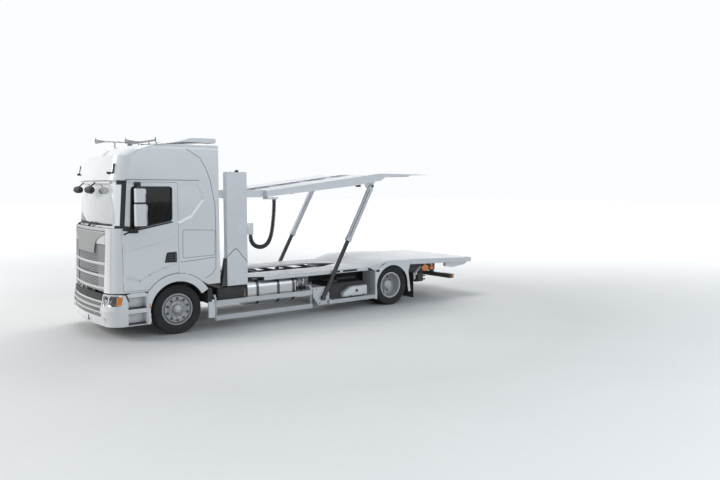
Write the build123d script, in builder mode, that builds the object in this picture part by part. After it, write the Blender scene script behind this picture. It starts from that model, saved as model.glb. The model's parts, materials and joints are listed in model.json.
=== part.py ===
from build123d import *
import math
import os

os.makedirs("parts", exist_ok=True)

# Millimetres, +X to the rear, +Y to the truck's right, +Z up, ground at z = 0
front_overhang = 1420.0
wheelbase = 5300.0
rear_overhang = 2730.0
half_width = 1250.0
overall_length = front_overhang + wheelbase + rear_overhang
front_axle_x = front_overhang - overall_length / 2
rear_axle_x = front_axle_x + wheelbase
pin_clearance = 0.3
slide_clearance = 0.5
seam = 6.0

sides = (("left", -1), ("right", 1))


def at(station):
    # X of a station measured rearwards from the front axle
    return front_axle_x + station


def slab(x, y, z, mode=Mode.ADD):
    # A box between two values on each axis
    with Locations(((x[0] + x[1]) / 2, (y[0] + y[1]) / 2, (z[0] + z[1]) / 2)):
        Box(x[1] - x[0], y[1] - y[0], z[1] - z[0], mode=mode)


def side_plate(points, inner, outer, mode=Mode.ADD, radius=0):
    # An outline in X and Z on the left side, between two distances from the middle
    with BuildSketch(Plane.XZ.offset(inner)) as outline:
        with BuildLine():
            if radius:
                FilletPolyline(*points, radius=radius, close=True)
            else:
                Polyline(*points, close=True)
        make_face()
    extrude(outline.sketch, amount=outer - inner, dir=(0, -1, 0), mode=mode)


def plan_plate(points, low, high, mode=Mode.ADD):
    # An outline in X and Y between two heights
    with BuildSketch(Plane.XY.offset(low)) as outline:
        with BuildLine():
            Polyline(*points, close=True)
        make_face()
    extrude(outline.sketch, amount=high - low, dir=(0, 0, 1), mode=mode)


def cross_plate(points, front, rear, mode=Mode.ADD):
    # An outline in Y and Z between two stations in X
    with BuildSketch(Plane.YZ.offset(front)) as outline:
        with BuildLine():
            Polyline(*points, close=True)
        make_face()
    extrude(outline.sketch, amount=rear - front, dir=(1, 0, 0), mode=mode)


def rod(start, end, radius, mode=Mode.ADD):
    # A round bar between two points
    run = Vector(*end) - Vector(*start)
    with BuildSketch(Plane(origin=start, z_dir=run)) as ring:
        Circle(radius)
    extrude(ring.sketch, amount=run.length, mode=mode)


def turned(profile, centre, side, mode=Mode.ADD):
    # A profile of distance outwards and radius, turned about a wheel's axis
    with BuildSketch(Plane(origin=centre, x_dir=(0, side, 0), z_dir=(1, 0, 0))) as half:
        with BuildLine():
            Polyline(*profile, close=True)
        make_face()
    revolve(half.sketch, axis=Axis(centre, (0, 1, 0)), mode=mode)


def both_sides():
    # The same solids again on the right
    mirror(about=Plane.XZ)


def save(part, name):
    part.label = name
    export_step(part, f"parts/{name}.step")


# Frame rails
rail_top = 870.0
rail_height = 260.0
rail_outer = 430.0
rail_flange = 80.0
rail_wall = 8.0
rail_bottom = rail_top - rail_height
rail_inner = rail_outer - rail_wall
rail_front_x = at(-900)
rail_rear_x = at(7500)

with BuildPart() as frame_rails:
    cross_plate(
        [
            (-rail_outer, rail_bottom),
            (-rail_outer + rail_flange, rail_bottom),
            (-rail_outer + rail_flange, rail_bottom + rail_wall),
            (-rail_inner, rail_bottom + rail_wall),
            (-rail_inner, rail_top - rail_wall),
            (-rail_outer + rail_flange, rail_top - rail_wall),
            (-rail_outer + rail_flange, rail_top),
            (-rail_outer, rail_top),
        ],
        rail_front_x,
        rail_rear_x,
    )
    both_sides()
save(frame_rails.part, "frame_rails")

member_height = 120.0
member_length = 70.0
member_top = rail_top - rail_wall - 2
member_stations = (-820, 1500, 2400, 3300, 4100, 4750, 5850, 6600, 7400)

with BuildPart() as rail_members:
    for station in member_stations:
        slab(
            (at(station), at(station) + member_length),
            (-rail_inner, rail_inner),
            (member_top - member_height, member_top),
        )

# Engine with gearbox, propeller shaft, radiator
engine_front_x = at(-750)
engine_rear_x = at(350)
engine_half = 320.0
engine_low = 480.0
engine_high = 1290.0
gearbox_rear_x = at(1090)
gearbox_half = 190.0
driveline_z = 475.0
engine_foot = (at(-350), at(-150))

with BuildPart() as engine_block:
    slab((engine_front_x, engine_rear_x), (-engine_half, engine_half), (engine_low, engine_high))
    slab((engine_rear_x, gearbox_rear_x), (-gearbox_half, gearbox_half), (380, 900))
    chamfer(engine_block.edges().filter_by(Axis.X), 50)
    slab(engine_foot, (-rail_inner, rail_inner), (700, 780))
save(engine_block.part, "engine_block")

diff_radius = 210.0
diff_nose = 300.0
shaft_radius = 60.0
with BuildPart() as propshaft:
    rod((gearbox_rear_x, 0, driveline_z), (rear_axle_x - diff_nose, 0, driveline_z), shaft_radius)
    rod((gearbox_rear_x, 0, driveline_z), (gearbox_rear_x + 120, 0, driveline_z), 85)
    rod(
        (rear_axle_x - diff_nose - 120, 0, driveline_z),
        (rear_axle_x - diff_nose, 0, driveline_z),
        85,
    )
save(propshaft.part, "propshaft")

radiator_depth = 110.0
with BuildPart() as radiator:
    slab((rail_front_x - radiator_depth, rail_front_x), (-rail_outer, rail_outer), (500, 1290))
save(radiator.part, "radiator")

# Wheels
tyre_radius = 475.0
tyre_sides = 60
bead_radius = 285.0
flange_radius = 305.0
rim_wall = 12.0
front_tyre_half = 155.0
rear_tyre_half = 145.0
front_wheel_y = 1045.0
rear_outer_y = 1090.0
rear_inner_y = 765.0
hub_radius = 120.0
spindle_radius = 40.0
axle_z = tyre_radius


def tyre_outline(centre, distance, radius):
    # A many-sided ring outline round a wheel's axis, flat at the bottom
    spot = (centre[0], centre[1] + distance, centre[2])
    with BuildSketch(Plane(origin=spot, x_dir=(1, 0, 0), z_dir=(0, 1, 0))) as outline:
        RegularPolygon(radius, tyre_sides, major_radius=False, rotation=180 / tyre_sides)
    return outline.sketch


def tyre_ring(centre, half):
    # One tyre: bead, bulging wall and tread as flat bands, so it stays light
    bead = half - 37
    wall = [(bead, flange_radius + 2), (half, 378), (half - 32, tyre_radius)]
    section = [(-distance, radius) for distance, radius in wall] + wall[::-1]
    with BuildPart() as tyre:
        loft([tyre_outline(centre, *spot) for spot in section], ruled=True)
        bore = bead_radius + pin_clearance
        extrude(
            tyre_outline(centre, -bead, bore), amount=2 * bead, dir=(0, 1, 0), mode=Mode.SUBTRACT
        )
    return tyre.part


def rim_barrel(centre, side, half):
    # The well that the tyre sits on, with a flange at each edge
    bead = half - 37 + pin_clearance
    turned(
        [
            (-bead - 8, flange_radius),
            (-bead, flange_radius),
            (-bead, bead_radius),
            (bead, bead_radius),
            (bead, flange_radius),
            (bead + 8, flange_radius),
            (bead + 8, bead_radius - rim_wall + 8),
            (bead - 6, bead_radius - rim_wall),
            (-bead + 6, bead_radius - rim_wall),
            (-bead - 8, bead_radius - rim_wall + 8),
        ],
        centre,
        side,
    )


hand_hole_radius = 26.0
hand_hole_ring = 212.0
hand_hole_count = 10
front_disc = [
    (70, bead_radius - rim_wall + 2),
    (96, bead_radius - rim_wall + 2),
    (128, 245),
    (128, 185),
    (112, 150),
    (118, hub_radius),
    (118, 95),
    (160, 88),
    (172, 60),
    (172, 0),
    (40, 0),
    (40, 100),
    (98, 135),
    (112, 182),
    (112, 240),
]
front_spindle_end = front_wheel_y + 60

rear_disc = [
    (-100, bead_radius - rim_wall + 2),
    (-128, 255),
    (-163, 225),
    (-163, 190),
    (-120, hub_radius + 20),
    (20, hub_radius - 10),
    (45, hub_radius - 35),
    (45, 0),
    (-230, 0),
    (-230, hub_radius),
    (-180, hub_radius + 30),
    (-180, 225),
    (-200, 255),
    (-225, bead_radius - rim_wall + 2),
    (-205, bead_radius - rim_wall + 2),
    (-172, 240),
    (-140, 258),
    (-118, bead_radius - rim_wall + 2),
]
rear_spindle_end = rear_outer_y - 60


def hand_holes(centre, side, low, high):
    with BuildSketch(
        Plane(origin=(centre[0], centre[1] + side * low, centre[2]), z_dir=(0, side, 0))
    ) as ring:
        with PolarLocations(hand_hole_ring, hand_hole_count):
            Circle(hand_hole_radius)
    extrude(ring.sketch, amount=high - low, mode=Mode.SUBTRACT)


for name, side in sides:
    hub = (front_axle_x, side * front_wheel_y, axle_z)
    with BuildPart() as front_tyre:
        add(tyre_ring(hub, front_tyre_half))
    save(front_tyre.part, f"front_tyre_{name}")

    with BuildPart() as front_rim:
        rim_barrel(hub, side, front_tyre_half)
        turned(front_disc, hub, side)
        hand_holes(hub, side, 90, 140)
        rod(
            (front_axle_x, side * front_wheel_y, axle_z),
            (front_axle_x, side * (front_spindle_end + pin_clearance), axle_z),
            spindle_radius + pin_clearance,
            mode=Mode.SUBTRACT,
        )
    save(front_rim.part, f"front_rim_{name}")

    outer_hub = (rear_axle_x, side * rear_outer_y, axle_z)
    inner_hub = (rear_axle_x, side * rear_inner_y, axle_z)
    with BuildPart() as rear_tyres:
        add(tyre_ring(outer_hub, rear_tyre_half))
        add(tyre_ring(inner_hub, rear_tyre_half))
    save(rear_tyres.part, f"rear_tyres_{name}")

    with BuildPart() as rear_rims:
        rim_barrel(outer_hub, side, rear_tyre_half)
        rim_barrel(inner_hub, side, rear_tyre_half)
        turned(rear_disc, outer_hub, side)
        hand_holes(outer_hub, side, -185, -125)
        rod(
            (rear_axle_x, side * (rear_outer_y - 240), axle_z),
            (rear_axle_x, side * (rear_spindle_end + pin_clearance), axle_z),
            spindle_radius + pin_clearance,
            mode=Mode.SUBTRACT,
        )
    save(rear_rims.part, f"rear_rims_{name}")

# Front axle: dropped beam, leaf springs and their hangers
kingpin_y = 860.0
kingpin_radius = 25.0
beam_half = 45.0
beam_low = 430.0
beam_high = 520.0
beam_drop = 60.0
spring_half = 700.0
spring_y = (350.0, 420.0)
spring_thickness = 55.0

with BuildPart() as front_axle:
    cross_plate(
        [
            (-kingpin_y, beam_high),
            (-720, beam_high),
            (-620, beam_high - beam_drop),
            (620, beam_high - beam_drop),
            (720, beam_high),
            (kingpin_y, beam_high),
            (kingpin_y, beam_low),
            (700, beam_low),
            (600, beam_low - beam_drop),
            (-600, beam_low - beam_drop),
            (-700, beam_low),
            (-kingpin_y, beam_low),
        ],
        front_axle_x - beam_half,
        front_axle_x + beam_half,
    )
    for name, side in sides:
        eye = (front_axle_x, side * kingpin_y, beam_low)
        rod(eye, (front_axle_x, side * kingpin_y, beam_high), beam_half)
    for name, side in sides:
        rod(
            (front_axle_x, side * kingpin_y, beam_low - 10),
            (front_axle_x, side * kingpin_y, beam_high + 10),
            kingpin_radius + pin_clearance,
            mode=Mode.SUBTRACT,
        )
    spring_low = beam_high - beam_drop
    for name, side in sides:
        near = min(side * spring_y[0], side * spring_y[1])
        with BuildSketch(Plane.XZ.offset(-near - (spring_y[1] - spring_y[0]))) as leaf:
            with BuildLine():
                ThreePointArc(
                    (front_axle_x - spring_half, 540),
                    (front_axle_x, spring_low),
                    (front_axle_x + spring_half, 540),
                )
                Line(
                    (front_axle_x + spring_half, 540),
                    (front_axle_x + spring_half, 540 + spring_thickness),
                )
                ThreePointArc(
                    (front_axle_x + spring_half, 540 + spring_thickness),
                    (front_axle_x, spring_low + spring_thickness + 25),
                    (front_axle_x - spring_half, 540 + spring_thickness),
                )
                Line(
                    (front_axle_x - spring_half, 540 + spring_thickness),
                    (front_axle_x - spring_half, 540),
                )
            make_face()
        extrude(leaf.sketch, amount=spring_y[1] - spring_y[0])
        for end in (-1, 1):
            hanger_x = front_axle_x + end * (spring_half - 40)
            slab(
                (hanger_x - 50, hanger_x + 50),
                (min(side * spring_y[0], side * spring_y[1]), max(side * spring_y[0], side * spring_y[1])),
                (550, rail_bottom),
            )
save(front_axle.part, "front_axle")

knuckle_web = (kingpin_y + 56, kingpin_y + 96)
for name, side in sides:
    with BuildPart() as knuckle:
        for low, high in ((beam_low - 46, beam_low - 6), (beam_high + 6, beam_high + 46)):
            rod((front_axle_x, side * kingpin_y, low), (front_axle_x, side * kingpin_y, high), 42)
            slab(
                (front_axle_x - 38, front_axle_x + 38),
                sorted((side * kingpin_y, side * knuckle_web[1])),
                (low, high),
            )
        slab(
            (front_axle_x - 38, front_axle_x + 38),
            sorted((side * knuckle_web[0], side * knuckle_web[1])),
            (beam_low - 46, beam_high + 46),
        )
        rod(
            (front_axle_x, side * kingpin_y, beam_low - 20),
            (front_axle_x, side * kingpin_y, beam_high + 20),
            kingpin_radius,
        )
        rod(
            (front_axle_x, side * knuckle_web[0], axle_z),
            (front_axle_x, side * front_spindle_end, axle_z),
            spindle_radius,
        )
        rod(
            (front_axle_x, side * knuckle_web[0], axle_z),
            (front_axle_x, side * (front_wheel_y + 10), axle_z),
            70,
        )
    save(knuckle.part, f"knuckle_{name}")

# Rear axle with its housing, spindles and spring arms
arm_half = 620.0
arm_y = (345.0, 455.0)
arm_z = (310.0, 370.0)
bellows_station = 470.0
with BuildPart() as rear_axle:
    rod((rear_axle_x, -620, axle_z), (rear_axle_x, 620, axle_z), 75)
    rod((rear_axle_x, -rear_spindle_end, axle_z), (rear_axle_x, rear_spindle_end, axle_z), spindle_radius)
    with Locations((rear_axle_x, 0, axle_z)):
        Sphere(diff_radius)
    rod((rear_axle_x - diff_nose, 0, driveline_z), (rear_axle_x, 0, driveline_z), 95)
    for name, side in sides:
        near, far = sorted((side * arm_y[0], side * arm_y[1]))
        slab((rear_axle_x - arm_half, rear_axle_x + arm_half), (near, far), arm_z)
        slab((rear_axle_x - 80, rear_axle_x + 80), (near, far), (arm_z[0], axle_z))
save(rear_axle.part, "rear_axle")

bellows_radius = 130.0
bellows_middle = (arm_z[1] + rail_bottom) / 2
with BuildPart() as air_springs:
    for direction in (-1, 1):
        centre = (rear_axle_x + direction * bellows_station, -(arm_y[0] + arm_y[1]) / 2, 0)
        with BuildSketch(Plane(origin=centre, x_dir=(1, 0, 0), z_dir=(0, -1, 0))) as profile:
            with BuildLine():
                Polyline(
                    (0, arm_z[1]),
                    (bellows_radius - 45, arm_z[1]),
                    (bellows_radius, (arm_z[1] + bellows_middle) / 2),
                    (bellows_radius - 25, bellows_middle),
                    (bellows_radius, (bellows_middle + rail_bottom) / 2),
                    (bellows_radius - 45, rail_bottom),
                    (0, rail_bottom),
                    close=True,
                )
            make_face()
        revolve(profile.sketch, axis=Axis(centre, (0, 0, 1)))
    both_sides()
save(air_springs.part, "air_springs")

# Cab: plan outlines at some heights, each with its nose, bow and corner
cab_rear_x = at(860)
cab_wall = 48.0
cab_low = 885.0
belt_z = 2060.0
screen_top = 2930.0
nose_bow = 80.0
nose_corner = 300.0
cab_floor = 1420.0
floor_thickness = 60.0
cab_body_levels = (
    # height, nose station at the middle, half width
    (cab_low, -1360, half_width),
    (belt_z, -1320, half_width),
)
cab_screen_levels = (
    (belt_z, -1235, half_width),
    (screen_top, -1175, half_width),
)
cab_roof_levels = (
    (screen_top, -1250, half_width),
    (3380, -1154, half_width),
    (3500, -940, half_width),
    (3574, -735, half_width),
    (3660, -350, half_width),
)
roof_line = ((-1500, 3480), (-615, 3574), (550, 3644), (861, 3612))
roof_edge_radius = 120.0


def nose_face(height, nose, half, inset):
    # The plan outline of the cab or bumper at one height
    tip_x = at(nose) + inset
    side_y = half - inset
    corner = nose_corner - inset
    shoulder_x = tip_x + nose_bow
    shoulder_y = side_y - corner
    bend = corner * math.sin(math.radians(45))
    with BuildSketch(Plane.XY.offset(height)) as face:
        with BuildLine():
            ThreePointArc((shoulder_x, -shoulder_y), (tip_x, 0), (shoulder_x, shoulder_y))
            ThreePointArc(
                (shoulder_x, shoulder_y),
                (shoulder_x + corner - bend, shoulder_y + bend),
                (shoulder_x + corner, side_y),
            )
            Line((shoulder_x + corner, side_y), (cab_rear_x - inset, side_y))
            Line((cab_rear_x - inset, side_y), (cab_rear_x - inset, -side_y))
            Line((cab_rear_x - inset, -side_y), (shoulder_x + corner, -side_y))
            ThreePointArc(
                (shoulder_x + corner, -side_y),
                (shoulder_x + corner - bend, -shoulder_y - bend),
                (shoulder_x, -shoulder_y),
            )
        make_face()
    return face.sketch


def nose_block(levels, inset=0):
    # A solid through two or more plan outlines
    with BuildPart() as block:
        for lower, upper in zip(levels[:-1], levels[1:]):
            loft([nose_face(*lower, inset), nose_face(*upper, inset)])
    return block.part


wheel_arch_radius = 705.0
arch_rear_station = 470.0
skirt_rear_low = 917.0
skirt_rear_station = 600.0


def cab_side_outline():
    # The cab's side view below the roof, with the wheel arch as an arc
    flat = math.sqrt(wheel_arch_radius**2 - (cab_low - axle_z) ** 2)
    rise = math.sqrt(wheel_arch_radius**2 - arch_rear_station**2)
    with BuildSketch(Plane.XZ.offset(-half_width - 50)) as outline:
        with BuildLine():
            Line((at(-1500), cab_low), (at(-flat), cab_low))
            ThreePointArc(
                (at(-flat), cab_low),
                (front_axle_x, axle_z + wheel_arch_radius),
                (at(arch_rear_station), axle_z + rise),
            )
            Line((at(arch_rear_station), axle_z + rise), (at(skirt_rear_station), skirt_rear_low))
            Line((at(skirt_rear_station), skirt_rear_low), (at(900), skirt_rear_low))
            Line((at(900), skirt_rear_low), (at(900), 3800))
            Line((at(900), 3800), (at(-1500), 3800))
            Line((at(-1500), 3800), (at(-1500), cab_low))
        make_face()
    return outline.sketch


with BuildPart() as cab_outer:
    add(nose_block(cab_body_levels))
    add(nose_block(cab_screen_levels))
    add(nose_block(cab_roof_levels))
    with BuildSketch(Plane.YZ.offset(at(-1500))) as front_view:
        with Locations((0, 1800)):
            Rectangle(2 * half_width, 3700)
        fillet(front_view.vertices().group_by(Axis.Z)[-1], roof_edge_radius)
    extrude(amount=2500, mode=Mode.INTERSECT)
    with BuildSketch(Plane.XZ.offset(-half_width - 50)) as roof_view:
        with BuildLine():
            Polyline(
                (at(-1500), 500),
                *[(at(station), height) for station, height in roof_line],
                (at(861), 500),
                close=True,
            )
        make_face()
    extrude(amount=2 * half_width + 100, mode=Mode.INTERSECT)

# One hollow from the engine bay up to the roof: the floor goes in later
with BuildPart() as cab_hollow:
    add(
        nose_block(
            ((cab_low - 20, -1360, half_width), (belt_z, -1320, half_width)),
            cab_wall,
        )
    )
    add(nose_block(cab_screen_levels, cab_wall))
    add(
        nose_block(
            ((screen_top, -1180, half_width), (3330, -1090, half_width), (3520, -700, half_width - 40)),
            cab_wall,
        )
    )
    slab(
        (cab_rear_x - 300, cab_rear_x + 50),
        (-half_width + cab_wall, half_width - cab_wall),
        (cab_low - 20, 1180),
    )

# Door outline, side window and windscreen
door_front_station = -1030.0
door_rear_station = 20.0
door_top = 2895.0
door_lower_front = 915.0
door_arch_gap = 8.0
pillar_foot = 2010.0
pillar_top_station = -935.0
door_corner = 55.0
opening_depth = 260.0
sill_gap = 10.0
window_corners = ((-880, 2035), (-100, 2185), (-92, 2810), (-845, 2810))
hinge_pin_radius = 6.0
hinge_y = 1245.0
hinge_heights = ((1080, 1180), (1760, 1860))


def door_outline(grow, depth):
    # The door seam in the side view, grown by half a seam for the opening
    radius = wheel_arch_radius + door_arch_gap - grow
    low = door_lower_front - grow
    start = -math.sqrt(radius**2 - (low - axle_z) ** 2)
    rear = door_rear_station + grow
    end = math.sqrt(radius**2 - rear**2)
    front = door_front_station - grow
    with BuildSketch(Plane.XZ.offset(half_width - depth)) as outline:
        with BuildLine():
            Line((at(front), low), (at(start), low))
            ThreePointArc(
                (at(start), low),
                (at(start / 2), axle_z + math.sqrt(radius**2 - (start / 2) ** 2)),
                (at(rear), axle_z + end),
            )
            FilletPolyline(
                (at(rear), axle_z + end),
                (at(rear), door_top + grow),
                (at(pillar_top_station - grow), door_top + grow),
                (at(front), pillar_foot),
                (at(front), low),
                radius=door_corner,
            )
        make_face()
    return outline.sketch


def window_outline(depth):
    with BuildSketch(Plane.XZ.offset(half_width - depth)) as outline:
        with BuildLine():
            FilletPolyline(
                *[(at(station), height) for station, height in window_corners],
                radius=60,
                close=True,
            )
        make_face()
    return outline.sketch


def through_side(face, side, mode):
    # A left side outline taken through the wall of either side
    if side > 0:
        face = mirror(face, about=Plane.XZ, mode=Mode.PRIVATE)
    extrude(face, amount=2 * opening_depth, dir=(0, side, 0), mode=mode)


screen_low = 2100.0
screen_high = 2860.0
screen_half_low = 1100.0
screen_half_high = 1085.0
screen_radius = 70.0


def screen_outline():
    with BuildSketch(Plane.YZ.offset(at(-1500))) as outline:
        with BuildLine():
            FilletPolyline(
                (-screen_half_low, screen_low),
                (screen_half_low, screen_low),
                (screen_half_high, screen_high),
                (-screen_half_high, screen_high),
                radius=screen_radius,
                close=True,
            )
        make_face()
    return outline.sketch


# Upper grille opening in the cab's nose, with its slats in the same outline
grille_top = 2000.0
grille_half_top = 985.0
grille_half_low = 900.0
cab_tilt_station = -1275.0
cab_tilt_z = 630.0
tilt_eye_radius = 42.0
tilt_arm_station = (-1060.0, -990.0)
tilt_pin_radius = 25.0
tilt_arm_y = (500.0, 560.0)


def grille_width(height):
    # Half the grille's width at a height, narrower towards the bottom
    share = (height - 530) / (grille_top - 530)
    return grille_half_low + share * (grille_half_top - grille_half_low)


def grille_outline(low, high, shrink=0):
    with BuildSketch(Plane.YZ.offset(at(-1500))) as outline:
        with BuildLine():
            Polyline(
                (-grille_width(low) + shrink, low),
                (grille_width(low) - shrink, low),
                (grille_width(high) - shrink, high),
                (-grille_width(high) + shrink, high),
                close=True,
            )
        make_face()
    return outline.sketch


nose_depth = 400.0

with BuildPart() as cab_skin:
    add(cab_outer.part)
    add(cab_hollow.part, mode=Mode.SUBTRACT)
    extrude(
        cab_side_outline(),
        amount=2 * half_width + 100,
        dir=(0, -1, 0),
        mode=Mode.INTERSECT,
    )

floor_nose = -1348.0
floor_levels = (
    (cab_floor - floor_thickness, floor_nose, half_width),
    (cab_floor, floor_nose, half_width),
)
with BuildPart() as floor_pan:
    add(nose_block(floor_levels, cab_wall))

with BuildPart() as cab_shell:
    add(cab_skin.part)
    for name, side in sides:
        through_side(door_outline(seam / 2, opening_depth), side, Mode.SUBTRACT)
    add(floor_pan.part)
    for name, side in sides:
        through_side(door_outline(seam / 2, cab_wall + sill_gap), side, Mode.SUBTRACT)
    extrude(screen_outline(), amount=nose_depth, dir=(1, 0, 0), mode=Mode.SUBTRACT)
    extrude(
        grille_outline(cab_low - 20, grille_top),
        amount=nose_depth - 100,
        dir=(1, 0, 0),
        mode=Mode.SUBTRACT,
    )
    for name, side in sides:
        for low, high in hinge_heights:
            rod(
                (at(door_front_station), side * hinge_y, low - slide_clearance),
                (at(door_front_station), side * hinge_y, high + slide_clearance),
                hinge_pin_radius + pin_clearance,
                mode=Mode.SUBTRACT,
            )
        near, far = sorted((side * tilt_arm_y[0], side * tilt_arm_y[1]))
        slab(
            (at(tilt_arm_station[0]), at(tilt_arm_station[1])),
            (near, far),
            (cab_tilt_z - tilt_eye_radius, cab_floor - floor_thickness),
        )
        slab(
            (at(cab_tilt_station), at(tilt_arm_station[1])),
            (near, far),
            (cab_tilt_z - tilt_eye_radius, cab_tilt_z + tilt_eye_radius),
        )
        rod(
            (at(cab_tilt_station), near, cab_tilt_z),
            (at(cab_tilt_station), far, cab_tilt_z),
            tilt_eye_radius,
        )
        rod(
            (at(cab_tilt_station), near - 1, cab_tilt_z),
            (at(cab_tilt_station), far + 1, cab_tilt_z),
            tilt_pin_radius + pin_clearance,
            mode=Mode.SUBTRACT,
        )
save(cab_shell.part, "cab_shell")

with BuildPart() as door_left:
    add(cab_skin.part)
    through_side(door_outline(-seam / 2, opening_depth), -1, Mode.INTERSECT)
    through_side(window_outline(opening_depth), -1, Mode.SUBTRACT)
    for low, high in hinge_heights:
        rod(
            (at(door_front_station), -hinge_y, low),
            (at(door_front_station), -hinge_y, high),
            hinge_pin_radius,
        )
save(door_left.part, "door_left")

with BuildPart() as door_right:
    add(mirror(door_left.part, about=Plane.XZ, mode=Mode.PRIVATE))
save(door_right.part, "door_right")

glass_thickness = 8.0
glass_inset = 18.0
with BuildPart() as glass_layer:
    add(nose_block(cab_screen_levels, glass_inset))
    add(nose_block(cab_screen_levels, glass_inset + glass_thickness), mode=Mode.SUBTRACT)

with BuildPart() as windscreen:
    add(glass_layer.part)
    extrude(screen_outline(), amount=nose_depth, dir=(1, 0, 0), mode=Mode.INTERSECT)
save(windscreen.part, "windscreen")

with BuildPart() as door_glass_left:
    extrude(
        window_outline(glass_inset + glass_thickness),
        amount=glass_thickness,
        dir=(0, -1, 0),
    )
save(door_glass_left.part, "door_glass_left")

with BuildPart() as door_glass_right:
    add(mirror(door_glass_left.part, about=Plane.XZ, mode=Mode.PRIVATE))
save(door_glass_right.part, "door_glass_right")

# Cross members with the cab's tilt bearings and the bumper's brackets
bearing_y = (rail_outer, rail_outer + 36)
tilt_pin_end = tilt_arm_y[1] + 15
with BuildPart() as cross_members:
    side_plate(
        [
            (at(cab_tilt_station - 40), cab_tilt_z - 40),
            (at(-640), rail_bottom + 20),
            (at(-640), rail_top - 20),
            (at(cab_tilt_station - 40), cab_tilt_z + 40),
        ],
        *bearing_y,
    )
    slab((at(-900), at(-820)), (-bearing_y[1], -bearing_y[0]), (400, 850))
    slab((at(-900), at(-820)), (-960, -bearing_y[1]), (400, 500))
    rod(
        (at(cab_tilt_station), -bearing_y[0], cab_tilt_z),
        (at(cab_tilt_station), -tilt_pin_end, cab_tilt_z),
        tilt_pin_radius,
    )
    both_sides()
    add(rail_members.part)
save(cross_members.part, "cross_members")

# Cab front: grille panel with mesh, broad slats and a bare panel above them
slat_height = 52.0
cab_slats = (1700.0, 1400.0, 1090.0)
panel_low = 1760.0
grille_gap = 0.5


def grille_layer(low, high, front, rear, levels):
    # A band of the nose's own curve between two insets and two heights
    with BuildPart() as layer:
        add(nose_block(levels, front))
        add(nose_block(levels, rear), mode=Mode.SUBTRACT)
        slab((at(-1500), at(-1000)), (-half_width, half_width), (low, high), mode=Mode.INTERSECT)
    return layer.part


with BuildPart() as cab_grille:
    add(grille_layer(cab_low + 6, grille_top, 36, 48, cab_body_levels))
    for height in cab_slats:
        add(grille_layer(height, height + slat_height, -6, 40, cab_body_levels))
    add(grille_layer(panel_low, grille_top, 4, 40, cab_body_levels))
    extrude(
        grille_outline(cab_low, grille_top, grille_gap),
        amount=nose_depth - 100,
        dir=(1, 0, 0),
        mode=Mode.INTERSECT,
    )
save(cab_grille.part, "cab_grille")

# Bumper with the corner steps, headlamps and the lower grille
bumper_low = 270.0
bumper_gap = 25.0
bumper_top = cab_low - bumper_gap
bumper_wall = 36.0
bumper_levels = (
    (bumper_low, -1375, half_width - 12),
    (560, -1420, half_width),
    (bumper_top, -1362, half_width),
)
bumper_rear_station = -600.0
bumper_grille_low = 440.0
lamp_z = (655.0, 840.0)
lamp_stations = (-1390.0, -1075.0)
lamp_inner_y = 925.0
lamp_depth = 110.0
step_box_inner = 960.0
step_pocket_inner = 1080.0
step_mouth = (-955.0, -620.0)
step_levels = ((290.0, 505.0), (580.0, 800.0))
tread_thickness = 14.0

with BuildPart() as bumper_solid:
    add(nose_block(bumper_levels))
bumper_inner_levels = (
    (bumper_low - 20, -1375, half_width - 12),
    *bumper_levels[1:-1],
    (cab_low + 20, -1362, half_width),
)
with BuildPart() as bumper_inside:
    add(nose_block(bumper_inner_levels, bumper_wall))

with BuildPart() as front_bumper:
    add(bumper_solid.part)
    add(bumper_inside.part, mode=Mode.SUBTRACT)
    for name, side in sides:
        near, far = sorted((side * step_box_inner, side * (half_width - 20)))
        slab((at(-1130), at(bumper_rear_station)), (near, far), (bumper_low + 4, bumper_top - 30))
    slab(
        (at(-1500), at(bumper_rear_station)),
        (-half_width, half_width),
        (bumper_low, bumper_top),
        mode=Mode.INTERSECT,
    )
    extrude(
        grille_outline(bumper_grille_low, bumper_top + 10, 20),
        amount=nose_depth - 50,
        dir=(1, 0, 0),
        mode=Mode.SUBTRACT,
    )
    for name, side in sides:
        near, far = sorted((side * step_pocket_inner, side * (half_width + 10)))
        for low, high in step_levels:
            slab((at(step_mouth[0]), at(step_mouth[1])), (near, far), (low, high), mode=Mode.SUBTRACT)
        near, far = sorted((side * lamp_inner_y, side * (half_width + 10)))
        slab((at(-1500), at(lamp_stations[1])), (near, far), lamp_z, mode=Mode.SUBTRACT)
save(front_bumper.part, "front_bumper")

with BuildPart() as step_treads:
    for low, high in step_levels:
        slab(
            (at(step_mouth[0] + 1), at(step_mouth[1] - 1)),
            (-half_width + 4, -step_pocket_inner - 1),
            (low, low + tread_thickness),
        )
    both_sides()
save(step_treads.part, "step_treads")

with BuildPart() as headlamps:
    add(nose_block(bumper_levels, 3))
    add(nose_block(bumper_levels, lamp_depth), mode=Mode.SUBTRACT)
    slab(
        (at(-1500), at(lamp_stations[1]) - grille_gap),
        (-half_width, -lamp_inner_y - grille_gap),
        (lamp_z[0] + grille_gap, lamp_z[1] - grille_gap),
        mode=Mode.INTERSECT,
    )
    both_sides()
save(headlamps.part, "headlamps")

bumper_slats = (805.0, 700.0, 615.0)
with BuildPart() as bumper_grille:
    layer = (bumper_wall - 14, bumper_wall - 2, bumper_levels)
    add(grille_layer(bumper_grille_low + 1, bumper_top - 6, *layer))
    for height in bumper_slats:
        add(grille_layer(height, height + 34, 2, bumper_wall - 8, bumper_levels))
    extrude(
        grille_outline(bumper_grille_low, bumper_top + 10, 20 + grille_gap),
        amount=nose_depth - 50,
        dir=(1, 0, 0),
        mode=Mode.INTERSECT,
    )
save(bumper_grille.part, "bumper_grille")

# Front wheel arches: flare, liner and the panel behind the wheel
arch_inner = 548.0
flare_inner_y = 1105.0
liner_radius = 604.0
liner_inner_y = 640.0
flare_gap = 9.0
guard_front = 745.0
guard_depth = 32.0
flap_station = 6010.0
flap_thickness = 14.0


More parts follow.
